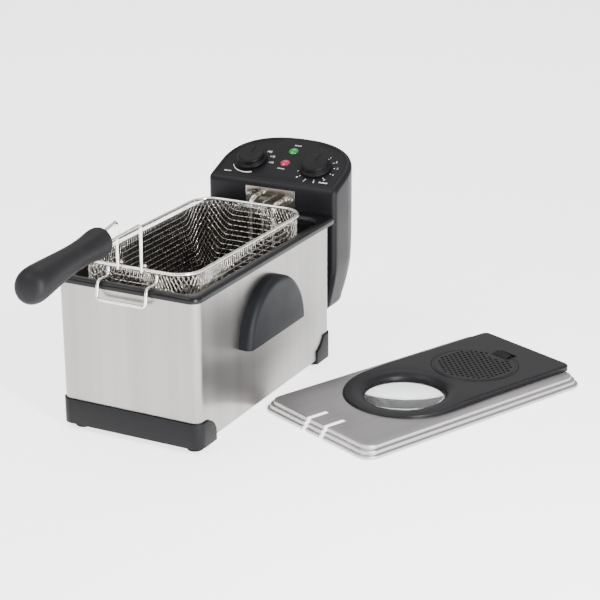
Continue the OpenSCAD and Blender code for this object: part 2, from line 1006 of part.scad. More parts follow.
// Frame wires under the mesh: two long rails and three cross wires below them
module basket_frame() {
    z = -basket_depth - frame_r;
    a = basket_len / 2 - 30;
    b = basket_width / 2 - 24;
    on_fryer() color(bright)
        on_basket() {
            for (s = [-1, 1])
                bar([-a, s * b, z], [a, s * b, z], frame_r);
            for (x = [-1, 0, 1])
                bar([x * (a - 6), -b - 6, z], [x * (a - 6), b + 6, z], frame_r);
        }
}

// Two handle wires: a loop round the rim, a rise and a run to the grip
module handle_wires() {
    on_fryer() color(bright)
        for (s = [-1, 1]) {
            translate([pivot_x, s * arm_y, basket_z])
                rotate([90, 0, 0])
                    elbow(loop_r, arm_r, -180, 270);
            translate([pivot_x - loop_r, s * arm_y, basket_z])
                sphere(r = arm_r, $fn = 24);
            bar([pivot_x - loop_r, s * arm_y, basket_z], [apex_x, s * arm_y, apex_z], arm_r);
            translate([apex_x, s * arm_y, apex_z])
                sphere(r = arm_r, $fn = 24);
            bar([apex_x, s * arm_y, apex_z], [grip_x - 6, s * 8, grip_z], arm_r);
        }
}

// Moulded grip: waisted near the wires, thick and round at its free end
module handle_grip() {
    on_fryer() color(charcoal)
        translate([grip_x, 0, grip_z])
            rotate([0, -90 - grip_droop, 0])
                difference() {
                    union() {
                        rotate_extrude($fn = 64)
                            polygon([
                                [0, 0], [14.5, 0], [16.3, 2.5], [16.3, 10], [14.6, 28],
                                [13.8, tip_run * 0.4], [15.4, tip_run * 0.66],
                                [18, tip_run * 0.88], [grip_r, tip_run], [0, tip_run]
                            ]);
                        translate([0, 0, tip_run])
                            sphere(r = grip_r, $fn = 64);
                    }
                    for (s = [-1, 1])
                        translate([0, s * 8, -1])
                            cylinder(r = arm_r + 1.2, h = 9, $fn = 24);
                }
}

// ---------------------------------------------------------------- lid

// Outline of one lid step, drawn in by t
module lid_plan(t) {
    round_rect(lid_length - 2 * t, lid_width - 2 * t, lid_r);
}

// Pressed steel lid: three shallow steps, open underneath, slotted at the front
module lid_shell() {
    on_lid() color(steel)
        difference() {
            for (s = lid_steps)
                translate([0, 0, s[1]])
                    linear_extrude(s[2] - s[1])
                        lid_plan(s[0]);
            for (s = lid_steps)
                translate([0, 0, s[1] - (s[1] > 0 ? sheet : 1)])
                    linear_extrude(s[2] - s[1] + (s[1] > 0 ? 0 : 1 - sheet))
                        lid_plan(s[0] + sheet);
            for (s = [-1, 1])
                translate([-lid_length / 2 - 1, s * arm_y - slot_w / 2, -1])
                    cube([slot_len + 1, slot_w, lid_top + 5]);
            translate([window_x, 0, 1])
                cylinder(r = window_r + 7, h = 20, $fn = 96);
            translate([filter_x, 0, 1])
                cylinder(r = well_r, h = 20, $fn = 96);
            screw_ring_holes(1.7);
        }
}

// Four places round the window where the screws pass
module screw_ring_places() {
    for (a = [45 : 90 : 315])
        translate([window_x + screw_ring * cos(a), screw_ring * sin(a), 0])
            children();
}

module screw_ring_holes(r) {
    screw_ring_places()
        cylinder(r = r, h = 14.6, $fn = 24);
}

// Plan of the bezel: round at the front, straight sided to the rear
module bezel_plan() {
    translate([window_x, 0])
        circle(r = bezel_r, $fn = 128);
    translate([window_x, -bezel_r])
        square([lid_length / 2 - window_x - 8, 2 * bezel_r]);
    translate([lid_length / 2 - 10, -bezel_r + 8])
        square([10, 2 * bezel_r - 16]);
    for (s = [-1, 1])
        translate([lid_length / 2 - 8, s * (bezel_r - 8)])
            circle(r = 8, $fn = 36);
}

// Black bezel round the window and the filter, low at the front and thicker at the rear
module lid_bezel() {
    on_lid() color("#4a484c")
        difference() {
            union() {
                intersection() {
                    translate([0, 0, lid_top])
                        linear_extrude(20)
                            bezel_plan();
                    rotate([90, 0, 0])
                        linear_extrude(lid_width, center = true)
                            polygon([
                                [window_x - bezel_r - 1, lid_top - 1],
                                [lid_length / 2 + 1, lid_top - 1],
                                [lid_length / 2 + 1, bezel_high],
                                [window_x + window_r, bezel_high],
                                [window_x - bezel_r - 1, bezel_low]
                            ]);
                }
                translate([window_x, 0, 9])
                    cylinder(r = window_r + 7, h = 4.5, $fn = 96);
            }
            translate([window_x, 0, 8])
                cylinder(r = window_r, h = 10, $fn = 96);
            translate([window_x, 0, 11])
                cylinder(r1 = window_r, r2 = window_r + 12, h = 12, $fn = 96);
            translate([filter_x, 0, lid_top - 1])
                cylinder(r = well_r, h = 20, $fn = 96);
            translate([filter_x, 0, ledge_z])
                cylinder(r = filter_r + 0.3, h = 20, $fn = 96);
            screw_ring_holes(1.5);
        }
}

module window_glass() {
    on_lid() color("#d8dde0")
        translate([window_x, 0, 5.5])
            cylinder(r = window_r + 5, h = 3, $fn = 96);
}

module window_gasket() {
    on_lid() color(black)
        translate([window_x, 0, 8.5])
            linear_extrude(0.5)
                difference() {
                    circle(r = window_r + 5, $fn = 96);
                    circle(r = window_r, $fn = 96);
                }
}

// Ring under the glass with four posts that reach up to the lid
module window_retainer() {
    on_lid() color(steel)
        difference() {
            union() {
                translate([window_x, 0, 3.5])
                    linear_extrude(2)
                        difference() {
                            circle(r = window_r + 17, $fn = 96);
                            circle(r = window_r - 1, $fn = 96);
                        }
                screw_ring_places()
                    translate([0, 0, 3.5])
                        cylinder(r = 3.2, h = lid_top - sheet - 3.5, $fn = 24);
            }
            screw_ring_holes(1.7);
        }
}

module lid_screws() {
    on_lid() color(bright)
        screw_ring_places()
            translate([0, 0, 3.5])
                screw(3, 1.8, 1.5, 10.6);
}

// Cup that holds the filter pad, with steam holes in its floor
module filter_tray() {
    on_lid() color(charcoal)
        translate([filter_x, 0, 0])
            difference() {
                union() {
                    translate([0, 0, 6])
                        cylinder(r = well_r - 0.3, h = ledge_z - 5, $fn = 96);
                    translate([0, 0, ledge_z])
                        cylinder(r = filter_r, h = 1.2, $fn = 96);
                }
                translate([0, 0, 7.2])
                    cylinder(r = well_r - 1.5, h = 20, $fn = 96);
                for (k = [0 : 11])
                    rotate([0, 0, 30 * k])
                        translate([30, 0, 5])
                            cylinder(r = 4, h = 4, $fn = 24);
            }
}

module filter_pad() {
    on_lid() color("#e8e4da")
        translate([filter_x, 0, 7.2])
            cylinder(r = well_r - 2, h = 8, $fn = 64);
}

// Pierced cover over the filter with a raised tab for the finger
module filter_cover() {
    on_lid() color("#3a383b")
        translate([filter_x, 0, ledge_z + 1.2])
            difference() {
                union() {
                    cylinder(r = filter_r, h = 1.9, $fn = 96);
                    translate([filter_r - 12, -12, 1])
                        cube([10, 24, 4.4]);
                }
                for (i = [-6 : 6], j = [-6 : 6])
                    let (x = grid * (i + j / 2), y = grid * j * sqrt(3) / 2)
                        if (norm([x, y]) < filter_r - 8 && !(x > filter_r - 16 && abs(y) < 16))
                            translate([x, y, -1])
                                cylinder(r = hole_r, h = 4, $fn = 16);
            }
}

// ---------------------------------------------------------------- pieces

housing_shell();
base_plate();
front_trim();
rear_trim();
rubber_feet();
base_screws();
side_handle_left();
side_handle_right();
handle_screws();
head_rail();
rail_rivets();
oil_pot();
head_shell();
head_base_cover();
cover_screws();
control_panel();
element_plate();
plate_screws();
heating_element();
element_bracket();
thermostat_bulb();
thermostat_body();
timer_body();
thermostat_shaft();
thermostat_knob();
timer_shaft();
timer_knob();
power_lens();
ready_lens();
lamp_bulbs();
thermal_cutout();
reset_button();
safety_switch();
switch_plunger();
power_inlet();
inlet_pins();
terminal_block();
basket_mesh();
basket_rim();
basket_hook();
basket_frame();
handle_wires();
handle_grip();
lid_shell();
lid_bezel();
window_glass();
window_gasket();
window_retainer();
lid_screws();
filter_tray();
filter_pad();
filter_cover();
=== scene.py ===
"""Deep fryer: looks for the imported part, laid out as an add-on and run as a script.

Lengths in the tables below are millimetres in the fryer's own frame: X from front to rear with
zero at the middle of the steel housing, Y to the fryer's left, Z up from the table.
"""

import math

import bmesh
import bpy
import numpy as np
from mathutils import Matrix, Vector


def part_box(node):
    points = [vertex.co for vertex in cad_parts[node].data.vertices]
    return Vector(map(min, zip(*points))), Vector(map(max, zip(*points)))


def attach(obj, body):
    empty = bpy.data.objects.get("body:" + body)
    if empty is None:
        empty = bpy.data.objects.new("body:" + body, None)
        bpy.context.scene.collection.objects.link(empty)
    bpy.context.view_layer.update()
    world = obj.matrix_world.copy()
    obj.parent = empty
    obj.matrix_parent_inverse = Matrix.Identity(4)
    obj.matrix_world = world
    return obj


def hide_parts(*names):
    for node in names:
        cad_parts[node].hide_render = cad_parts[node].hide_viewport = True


bl_info = {
    "name": "Deep fryer looks",
    "version": (1, 0, 0),
    "blender": (4, 5, 0),
    "location": "3D View > Sidebar > Fryer",
    "description": "Builds the wire basket, pot, control head and lid of a deep fryer on its frame",
    "category": "Object",
}

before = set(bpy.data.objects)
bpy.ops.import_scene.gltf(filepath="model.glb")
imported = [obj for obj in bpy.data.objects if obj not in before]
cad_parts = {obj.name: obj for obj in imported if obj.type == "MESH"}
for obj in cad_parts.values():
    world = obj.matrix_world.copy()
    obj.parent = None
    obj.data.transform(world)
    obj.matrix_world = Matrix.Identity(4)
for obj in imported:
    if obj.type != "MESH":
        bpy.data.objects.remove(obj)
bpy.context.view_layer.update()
MM = 0.001


def middle(node):
    """Middle of a node's box, in metres."""
    low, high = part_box(node)
    return (low + high) / 2


HOME = np.array([middle("housing_shell")[0], middle("housing_shell")[1], 0.0])
LID_HOME = np.array([middle("lid_shell")[0], middle("lid_shell")[1], 0.0])
LID_TURN = math.radians(-24.15)
SLOPE = math.radians(22.0)

# Sizes shared with the solids, in millimetres
HX = (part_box("housing_shell")[1][0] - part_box("housing_shell")[0][0]) / MM / 2
HY = (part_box("housing_shell")[1][1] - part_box("housing_shell")[0][1]) / MM / 2
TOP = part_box("housing_shell")[1][2] / MM
RIM_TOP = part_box("oil_pot")[1][2] / MM
RIM_REAR = (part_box("oil_pot")[1][0] - HOME[0]) / MM
HEAD_X = (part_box("head_shell")[0][0] - HOME[0]) / MM
HEAD_REAR = (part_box("head_shell")[1][0] - HOME[0]) / MM
HEAD_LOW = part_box("head_base_cover")[0][2] / MM
HEAD_FRONT_TOP = TOP + 36.5
HEAD_HALF = (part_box("head_shell")[1][1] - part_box("head_shell")[0][1]) / MM / 2
KNOB_X, KNOB_Y = 36.7, 43.2
BASKET_Z = middle("basket_rim")[2] / MM
BASKET_X0 = (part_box("basket_mesh")[0][0] - HOME[0]) / MM - 1.7
BASKET_X1 = (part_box("basket_mesh")[1][0] - HOME[0]) / MM + 1.7
BASKET_HALF = (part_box("basket_mesh")[1][1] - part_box("basket_mesh")[0][1]) / MM / 2 + 1.7
BASKET_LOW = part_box("basket_mesh")[0][2] / MM
LID_L = 326.0
LID_W = 180.0


# ------------------------------------------------------------------ numpy shapes


def fryer(points):
    """Millimetres in the fryer's frame to metres in the shared frame: divide by 1000, add the home point."""
    return np.asarray(points, float) * MM + HOME


def lid_place(points):
    """Lid millimetres to the shared frame: turn about Z by the lid's angle, then move to its middle."""
    p = np.asarray(points, float) * MM
    c, s = math.cos(LID_TURN), math.sin(LID_TURN)
    x = p[..., 0] * c - p[..., 1] * s
    y = p[..., 0] * s + p[..., 1] * c
    return np.stack([x, y, p[..., 2]], -1) + LID_HOME


def panel_place(points):
    """Panel millimetres to the fryer's frame: X climbs the slope from the head's front, Z is normal to it."""
    p = np.asarray(points, float)
    c, s = math.cos(SLOPE), math.sin(SLOPE)
    x = HEAD_X + p[..., 0] * c - p[..., 2] * s
    z = HEAD_FRONT_TOP + p[..., 0] * s + p[..., 2] * c
    return np.stack([x, p[..., 1], z], -1)


def grid_faces(rows, cols, wrap_rows=False, wrap_cols=False):
    """Quads joining a rows by cols grid of points, numbered row by row, either way closed on itself."""
    r = np.arange(rows if wrap_rows else rows - 1)
    c = np.arange(cols if wrap_cols else cols - 1)
    rr, cc = np.meshgrid(r, c, indexing="ij")
    r2, c2 = (rr + 1) % rows, (cc + 1) % cols
    return np.stack([rr * cols + cc, rr * cols + c2, r2 * cols + c2, r2 * cols + cc], -1).reshape(-1, 4)


def welded(points, faces):
    """Joins points that coincide. A quad that loses one corner becomes a triangle (its last index twice)."""
    key = np.round(points * 2e6).astype(np.int64)
    first, index = np.unique(key, axis=0, return_index=True, return_inverse=True)[1:]
    faces = index.reshape(-1)[faces]
    same = faces == np.roll(faces, -1, 1)
    ok = (same.sum(1) <= 1) & (faces[:, 0] != faces[:, 2]) & (faces[:, 1] != faces[:, 3])
    faces, same = faces[ok], same[ok]
    turn = np.where(same.any(1), same.argmax(1) - 2, 0)
    return points[first], np.take_along_axis(faces, (np.arange(4) + turn[:, None]) % 4, 1)


def outward(points, faces):
    """A closed surface's faces, turned round if its signed volume about its middle is negative."""
    p = points - points.mean(0)
    a, b, c, d = (p[faces[:, k]] for k in range(4))
    volume = np.sum(a * np.cross(b, c)) + np.sum(a * np.cross(c, d))
    return faces[:, ::-1] if volume < 0 else faces


def add_mesh(name, shapes, body, nodes, finish, sharp=40.0):
    """Joins (points, faces) shapes in metres into one object that rides on a body for its nodes."""
    points, faces, start = [], [], 0
    for p, f in shapes:
        p = np.asarray(p, float).reshape(-1, 3)
        p, f = welded(p, outward(p, np.asarray(f)))
        points.append(p)
        faces.append(f + start)
        start += len(p)
    points, faces = np.concatenate(points), np.concatenate(faces)
    corners = np.ones(faces.shape, bool)
    corners[:, 3] = faces[:, 2] != faces[:, 3]
    loops = faces[corners]
    starts = np.concatenate([[0], np.cumsum(corners.sum(1))[:-1]])
    mesh = bpy.data.meshes.new(name)
    mesh.vertices.add(len(points))
    mesh.vertices.foreach_set("co", points.astype(np.float32).ravel())
    mesh.loops.add(len(loops))
    mesh.loops.foreach_set("vertex_index", loops.astype(np.int32))
    mesh.polygons.add(len(faces))
    mesh.polygons.foreach_set("loop_start", starts.astype(np.int32))
    mesh.update(calc_edges=True)
    mesh.validate()
    mesh.shade_smooth()
    mesh.set_sharp_from_angle(angle=math.radians(sharp))
    return add_piece(name, mesh, body, nodes, finish)


def add_piece(name, mesh, body, nodes, finish):
    """Puts a finished mesh in the scene with its finish, its body and the nodes it stands for."""
    obj = bpy.data.objects.new(name, mesh)
    bpy.context.scene.collection.objects.link(obj)
    mesh.materials.clear()
    mesh.materials.append(finish)
    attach(obj, body)
    if nodes:
        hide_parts(*nodes)
    return obj


def tube(path, radius, sides=12, closed=False, normal=None):
    """Round wire: at each path point a circle of the radius in the plane across the path.

    The circle's first axis is the path direction crossed with a fixed normal, so a path in one
    plane doesn't twist.
    """
    p = np.asarray(path, float)
    if closed:
        t = np.roll(p, -1, 0) - np.roll(p, 1, 0)
    else:
        t = np.gradient(p, axis=0)
    t /= np.linalg.norm(t, axis=1, keepdims=True)
    if normal is None:
        normal = np.linalg.svd(p - p.mean(0))[2][2]
    n = np.asarray(normal, float)
    a = np.cross(t, n)
    a /= np.linalg.norm(a, axis=1, keepdims=True)
    b = np.cross(t, a)
    ang = np.linspace(0, 2 * np.pi, sides, endpoint=False)
    ring = p[:, None] + radius * (np.cos(ang)[:, None] * a[:, None] + np.sin(ang)[:, None] * b[:, None])
    faces = grid_faces(len(p), sides, wrap_rows=closed, wrap_cols=True)
    points = ring.reshape(-1, 3)
    if not closed:
        points = np.concatenate([points, p[:1], p[-1:]])
        k = np.arange(sides)
        k2 = (k + 1) % sides
        first, last, base = len(points) - 2, len(points) - 1, (len(p) - 1) * sides
        low = np.stack([np.full(sides, first), k2, k, k], -1)
        high = np.stack([np.full(sides, last), base + k, base + k2, base + k2], -1)
        faces = np.concatenate([faces, low, high])
    return points, faces[:, ::-1]


def rounded(points, radius, steps=6, closed=False):
    """A path through the given corners, each rounded by an arc of the radius, tangent to both sides."""
    p = [np.asarray(q, float) for q in points]
    n = len(p)
    out = [] if closed else [p[0]]
    for i in range(n) if closed else range(1, n - 1):
        q, u, v = p[i], p[i - 1] - p[i], p[(i + 1) % n] - p[i]
        lu, lv = np.linalg.norm(u), np.linalg.norm(v)
        u, v = u / lu, v / lv
        half = math.acos(max(-1.0, min(1.0, float(u @ v)))) / 2
        cut = min(radius / math.tan(half), lu * 0.49, lv * 0.49)
        r = cut * math.tan(half)
        axis = (u + v) / np.linalg.norm(u + v)
        centre = q + axis * (r / math.sin(half))
        a, b = q + u * cut - centre, q + v * cut - centre
        sweep = math.pi - 2 * half
        w = np.linspace(0, 1, steps + 1)[:, None]
        arc = (np.sin((1 - w) * sweep) * a + np.sin(w * sweep) * b) / math.sin(sweep)
        out.extend(centre + arc)
    if not closed:
        out.append(p[-1])
    return np.array(out)


def even(path, step, closed=False):
    """The same path with points spaced evenly by about the step, read along its length."""
    p = np.concatenate([path, path[:1]]) if closed else np.asarray(path, float)
    d = np.concatenate([[0], np.cumsum(np.linalg.norm(np.diff(p, axis=0), axis=1))])
    count = max(2, int(round(d[-1] / step)) + 1)
    at = np.linspace(0, d[-1], count)
    q = np.stack([np.interp(at, d, p[:, k]) for k in range(3)], -1)
    return q[:-1] if closed else q


def outline(x0, x1, half, radius, arc=10, side=8):
    """Closed rounded rectangle from x0 to x1 and -half to half, anticlockwise: four arcs and split sides."""
    pts = []
    centres = [(x1 - radius, half - radius, 0), (x0 + radius, half - radius, 90),
               (x0 + radius, -half + radius, 180), (x1 - radius, -half + radius, 270)]
    for k, (cx, cy, start) in enumerate(centres):
        a = np.radians(start + np.linspace(0, 90, arc + 1))
        block = np.stack([cx + radius * np.cos(a), cy + radius * np.sin(a)], -1)
        nx, ny, n0 = centres[(k + 1) % 4]
        end = np.array([nx + radius * math.cos(math.radians(n0)), ny + radius * math.sin(math.radians(n0))])
        w = np.linspace(0, 1, side + 1)[1:-1, None]
        pts.append(block)
        pts.append(block[-1] * (1 - w) + end * w)
    return np.concatenate(pts)


def loft(rows, close_last=False):
    """Skin through closed loops of equal point counts. close_last adds a fan to the last loop's middle."""
    rows = np.asarray(rows, float)
    n, m = rows.shape[:2]
    points, faces = rows.reshape(-1, 3), grid_faces(n, m, wrap_cols=True)
    if close_last:
        points = np.concatenate([points, rows[-1].mean(0)[None]])
        k = np.arange(m)
        base = (n - 1) * m
        fan = np.stack([base + k, base + (k + 1) % m, np.full(m, n * m), np.full(m, n * m)], -1)
        faces = np.concatenate([faces, fan])
    return points, faces


def lathe(profile, around=64):
    """Turned shape: (radius, height) points carried round the Z axis, first and last closed at radius 0."""
    prof = np.asarray(profile, float)
    a = np.linspace(0, 2 * np.pi, around, endpoint=False)
    x = prof[:, 0, None] * np.cos(a)
    y = prof[:, 0, None] * np.sin(a)
    z = np.broadcast_to(prof[:, 1, None], x.shape)
    return np.stack([x, y, z], -1).reshape(-1, 3), grid_faces(len(prof), around, wrap_cols=True)


def smooth_profile(knots, count):
    """Cubic curve through (radius, height) knots, by the usual four-point blend, as count even samples."""
    k = np.asarray(knots, float)
    k = np.concatenate([2 * k[:1] - k[1:2], k, 2 * k[-1:] - k[-2:-1]])
    t = np.linspace(0, len(knots) - 1 - 1e-9, count)
    i = t.astype(int)
    f = (t - i)[:, None]
    p0, p1, p2, p3 = k[i], k[i + 1], k[i + 2], k[i + 3]
    return 0.5 * (2 * p1 + (p2 - p0) * f + (2 * p0 - 5 * p1 + 4 * p2 - p3) * f**2
                  + (3 * p1 - p0 - 3 * p2 + p3) * f**3)


def box_shape(x0, x1, y0, y1, z0, z1):
    """Closed box between three pairs of bounds."""
    x, y, z = np.meshgrid([x0, x1], [y0, y1], [z0, z1], indexing="ij")
    p = np.stack([x, y, z], -1).reshape(-1, 3)
    f = np.array([[0, 1, 3, 2], [4, 6, 7, 5], [0, 4, 5, 1], [2, 3, 7, 6], [0, 2, 6, 4], [1, 5, 7, 3]])
    return p, f


def prism(centres, radius, z0, z1, sides=12):
    """Points of upright prisms of equal size at many centres, one row of points for each."""
    c = np.asarray(centres, float).reshape(-1, 2)
    a = np.linspace(0, 2 * np.pi, sides, endpoint=False)
    ring = np.stack([c[:, None, 0] + radius * np.cos(a), c[:, None, 1] + radius * np.sin(a)], -1)
    low = np.concatenate([ring, np.full(ring.shape[:2] + (1,), z0)], -1)
    high = np.concatenate([ring, np.full(ring.shape[:2] + (1,), z1)], -1)
    return np.concatenate([low, high], 1)


def slab(points, faces, thick):
    """Closed thin plate: flat faces as its top, the same turned over below, and a wall round the rim."""
    p, f = welded(np.asarray(points, float), np.asarray(faces))
    n = len(p)
    low = p - [0, 0, thick]
    edges = np.concatenate([f[:, [0, 1]], f[:, [1, 2]], f[:, [2, 3]], f[:, [3, 0]]])
    edges = edges[edges[:, 0] != edges[:, 1]]
    rim = edges[~np.isin(edges @ [n, 1], edges @ [1, n])]
    wall = np.stack([rim[:, 1], rim[:, 0], rim[:, 0] + n, rim[:, 1] + n], -1)
    return np.concatenate([p, low]), np.concatenate([f, f[:, ::-1] + n, wall])


def finish_mesh(obj, bevel=0.0, segments=2, thickness=0.0, angle=35.0):
    """Gives a piece an inward wall thickness and rounded edges, each only where asked, and applies them."""
    if thickness:
        m = obj.modifiers.new("wall", "SOLIDIFY")
        m.thickness = thickness * MM
        m.offset = -1
        m.use_even_offset = True
    if bevel:
        m = obj.modifiers.new("edges", "BEVEL")
        m.width = bevel * MM
        m.segments = segments
        m.limit_method = "ANGLE"
        m.angle_limit = math.radians(angle)
        m.harden_normals = False
    apply_modifiers(obj)


def apply_modifiers(obj, sharp=40.0):
    """Bakes the modifiers into the mesh and marks edges sharper than the angle."""
    bpy.context.view_layer.update()
    deps = bpy.context.evaluated_depsgraph_get()
    mesh = bpy.data.meshes.new_from_object(obj.evaluated_get(deps), depsgraph=deps)
    obj.modifiers.clear()
    old = obj.data
    obj.data = mesh
    if old.users == 0:
        bpy.data.meshes.remove(old)
    mesh.shade_smooth()
    mesh.set_sharp_from_angle(angle=math.radians(sharp))


def join_flat(mesh, source=None):
    """Joins a mesh's coincident points and its flat neighbouring faces, so that cuts and bevels are clean."""
    bm = bmesh.new()
    bm.from_mesh(source or mesh)
    bmesh.ops.remove_doubles(bm, verts=bm.verts, dist=2e-6)
    bmesh.ops.dissolve_limit(bm, angle_limit=math.radians(0.6), verts=bm.verts, edges=bm.edges)
    bmesh.ops.recalc_face_normals(bm, faces=bm.faces)
    bm.to_mesh(mesh)
    bm.free()


def cut(obj, shapes, place):
    """Cuts closed shapes out of a piece. Each shape is (points, faces) in millimetres, put down by place."""
    cutter = bpy.data.meshes.new("cutter")
    starts = np.cumsum([0] + [len(points) for points, faces in shapes])
    faces = [[int(start + i) for i in dict.fromkeys(face)]
             for (points, part), start in zip(shapes, starts) for face in part]
    cutter.from_pydata(np.concatenate([place(points) for points, part in shapes]).tolist(), [], faces)
    bm = bmesh.new()
    bm.from_mesh(cutter)
    bmesh.ops.recalc_face_normals(bm, faces=bm.faces)
    bm.to_mesh(cutter)
    bm.free()
    tool = bpy.data.objects.new("cutter", cutter)
    bpy.context.scene.collection.objects.link(tool)
    m = obj.modifiers.new("cut", "BOOLEAN")
    m.operation = "DIFFERENCE"
    m.solver = "EXACT"
    m.object = tool
    apply_modifiers(obj)
    bpy.data.objects.remove(tool)
    bpy.data.meshes.remove(cutter)


def prism_faces(sides):
    """Faces of one closed prism: its upright sides and its two ends."""
    k = np.arange(sides)
    side = np.stack([k, (k + 1) % sides, sides + (k + 1) % sides, sides + k], -1)
    return [list(f) for f in side] + [list(k[::-1]), list(sides + k)]


def round_cut(x, y, radius, z0, z1, sides=48):
    """One closed upright cylinder for cut()."""
    return prism([[x, y]], radius, z0, z1, sides).reshape(-1, 3), prism_faces(sides)


def softened(node, name, finish, body, bevel=0.6, segments=2, angle=35.0, sharp=40.0):
    """A node's own mesh as a new piece with its flat triangles joined and its edges rounded."""
    mesh = bpy.data.meshes.new(name)
    join_flat(mesh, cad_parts[node].data)
    mesh.shade_smooth()
    mesh.set_sharp_from_angle(angle=math.radians(sharp))
    obj = add_piece(name, mesh, body, [node], finish)
    finish_mesh(obj, bevel=bevel, segments=segments, angle=angle)
    return obj


# ------------------------------------------------------------------ finishes


def linear(hex_colour):
    """sRGB hex colour to linear RGBA."""
    value = hex_colour.lstrip("#")
    c = np.array([int(value[i:i + 2], 16) / 255 for i in (0, 2, 4)])
    c = np.where(c <= 0.04045, c / 12.92, ((c + 0.055) / 1.055) ** 2.4)
    return (float(c[0]), float(c[1]), float(c[2]), 1.0)


def add_node(tree, kind, inputs=None, **settings):
    """Adds a node, sets its properties, then fills each input with a value or links it to a socket."""
    node = tree.nodes.new(kind)
    for key, value in settings.items():
        setattr(node, key, value)
    for key, value in (inputs or {}).items():
        if isinstance(value, bpy.types.NodeSocket):
            tree.links.new(value, node.inputs[key])
        else:
            node.inputs[key].default_value = value
    return node


def start_finish(name):
    """A new material with its output, and its Object coordinates in metres."""
    mat = bpy.data.materials.new(name)
    mat.use_nodes = True
    tree = mat.node_tree
    tree.nodes.clear()
    out = tree.nodes.new("ShaderNodeOutputMaterial")
    at = tree.nodes.new("ShaderNodeTexCoord").outputs["Object"]
    return mat, tree, out, at


def ramp(tree, factor, stops):
    """Colour ramp over the given (position, colour) stops."""
    node = add_node(tree, "ShaderNodeValToRGB", {"Fac": factor})
    while len(node.color_ramp.elements) < len(stops):
        node.color_ramp.elements.new(0.5)
    for element, (position, colour) in zip(node.color_ramp.elements, stops):
        element.position = position
        element.color = colour
    return node.outputs["Color"]


def noise(tree, at, scale, detail, roughness=0.5):
    """Cloudy noise with about scale lumps to the metre."""
    inputs = {"Vector": at, "Scale": scale, "Detail": detail, "Roughness": roughness}
    return add_node(tree, "ShaderNodeTexNoise", inputs).outputs["Fac"]


def spread(tree, factor, low, high, ends):
    """Value between the two ends as the factor goes from low to high."""
    inputs = {"Value": factor, "From Min": low, "From Max": high, "To Min": ends[0], "To Max": ends[1]}
    return add_node(tree, "ShaderNodeMapRange", inputs).outputs["Result"]


def bumped(tree, height, strength, distance_mm):
    """Normal tilted by a height pattern."""
    inputs = {"Height": height, "Strength": strength, "Distance": distance_mm * MM}
    return add_node(tree, "ShaderNodeBump", inputs).outputs["Normal"]


def surface(tree, out, inputs):
    """Ends a finish with one principled shader."""
    bsdf = add_node(tree, "ShaderNodeBsdfPrincipled", inputs)
    tree.links.new(bsdf.outputs["BSDF"], out.inputs["Surface"])


def shade(colour, factor, lift=0.0):
    """The colour with its brightness times the factor plus the lift, up to white."""
    return tuple(min(1.0, v * factor + lift) for v in colour[:3]) + (1.0,)


def brushed_stainless(name, tone, across, along, axis_turn, roughness):
    """Brushed stainless sheet: satin grey, fine parallel scratches and faint wide bands along them.

    across and along are the scratch spacings in millimetres over and along the brushing. The bands
    are fifty times as wide. They give the soft streaks that a rolled sheet shows from a distance.
    """
    mat, tree, out, at = start_finish(name)
    scale = (1000 / across[0], 1000 / across[1], 1000 / along)
    turned = add_node(tree, "ShaderNodeMapping", {"Vector": at, "Rotation": axis_turn}).outputs["Vector"]
    fine = add_node(tree, "ShaderNodeMapping", {"Vector": turned, "Scale": scale}).outputs["Vector"]
    broad = add_node(tree, "ShaderNodeMapping", {"Vector": turned, "Scale": tuple(0.02 * v for v in scale)})
    lines = noise(tree, fine, 1.0, 3.0, 0.6)
    bands = noise(tree, broad.outputs["Vector"], 1.0, 2.0)
    base = linear(tone)
    colour = ramp(tree, lines, [(0.3, shade(base, 0.95)), (0.7, shade(base, 1.03))])
    streak = ramp(tree, bands, [(0.34, (0.86, 0.86, 0.86, 1.0)), (0.64, (1.0, 1.0, 1.0, 1.0))])
    both = add_node(tree, "ShaderNodeMixRGB", {"Fac": 1.0, "Color1": colour, "Color2": streak},
                    blend_type="MULTIPLY")
    surface(tree, out, {
        "Base Color": both.outputs["Color"], "Metallic": 1.0,
        "Roughness": spread(tree, lines, 0.25, 0.75, roughness),
        "Anisotropic": 0.5, "Normal": bumped(tree, lines, 0.02, 0.2)})
    return mat


def bright_wire(name="nickel_plated_wire"):
    """Nickel plated steel wire: a warm silver mirror, a little dulled and uneven where oil has dried."""
    mat, tree, out, at = start_finish(name)
    spots = noise(tree, at, 160.0, 3.0)
    surface(tree, out, {
        "Base Color": ramp(tree, spots, [(0.3, linear("#D6D1C9")), (0.62, linear("#F6F2EC"))]),
        "Metallic": 1.0,
        "Roughness": spread(tree, spots, 0.3, 0.7, (0.14, 0.26))})
    return mat


PLASTIC_LIFT = 0.0006  # the least extra brightness of a plastic, so that near blacks still vary


def moulded_plastic(name, tone, grain_mm=0.9, depth=0.06, roughness=(0.42, 0.56)):
    """Moulded plastic with a spark-eroded grain: dark and even, with a soft broken highlight on its edges.

    The grain is drawn a little coarser than the real 0.3 mm one so that it shows.
    """
    mat, tree, out, at = start_finish(name)
    grain = noise(tree, at, 1000 / grain_mm, 2.0, 0.65)
    patch = noise(tree, at, 18.0, 3.0)
    base = linear(tone)
    surface(tree, out, {
        "Base Color": ramp(tree, patch, [(0.35, shade(base, 0.86)), (0.68, shade(base, 1.16, PLASTIC_LIFT))]),
        "Roughness": spread(tree, patch, 0.3, 0.7, roughness), "IOR": 1.5, "Specular IOR Level": 0.16,
        "Normal": bumped(tree, grain, depth, 0.3)})
    return mat


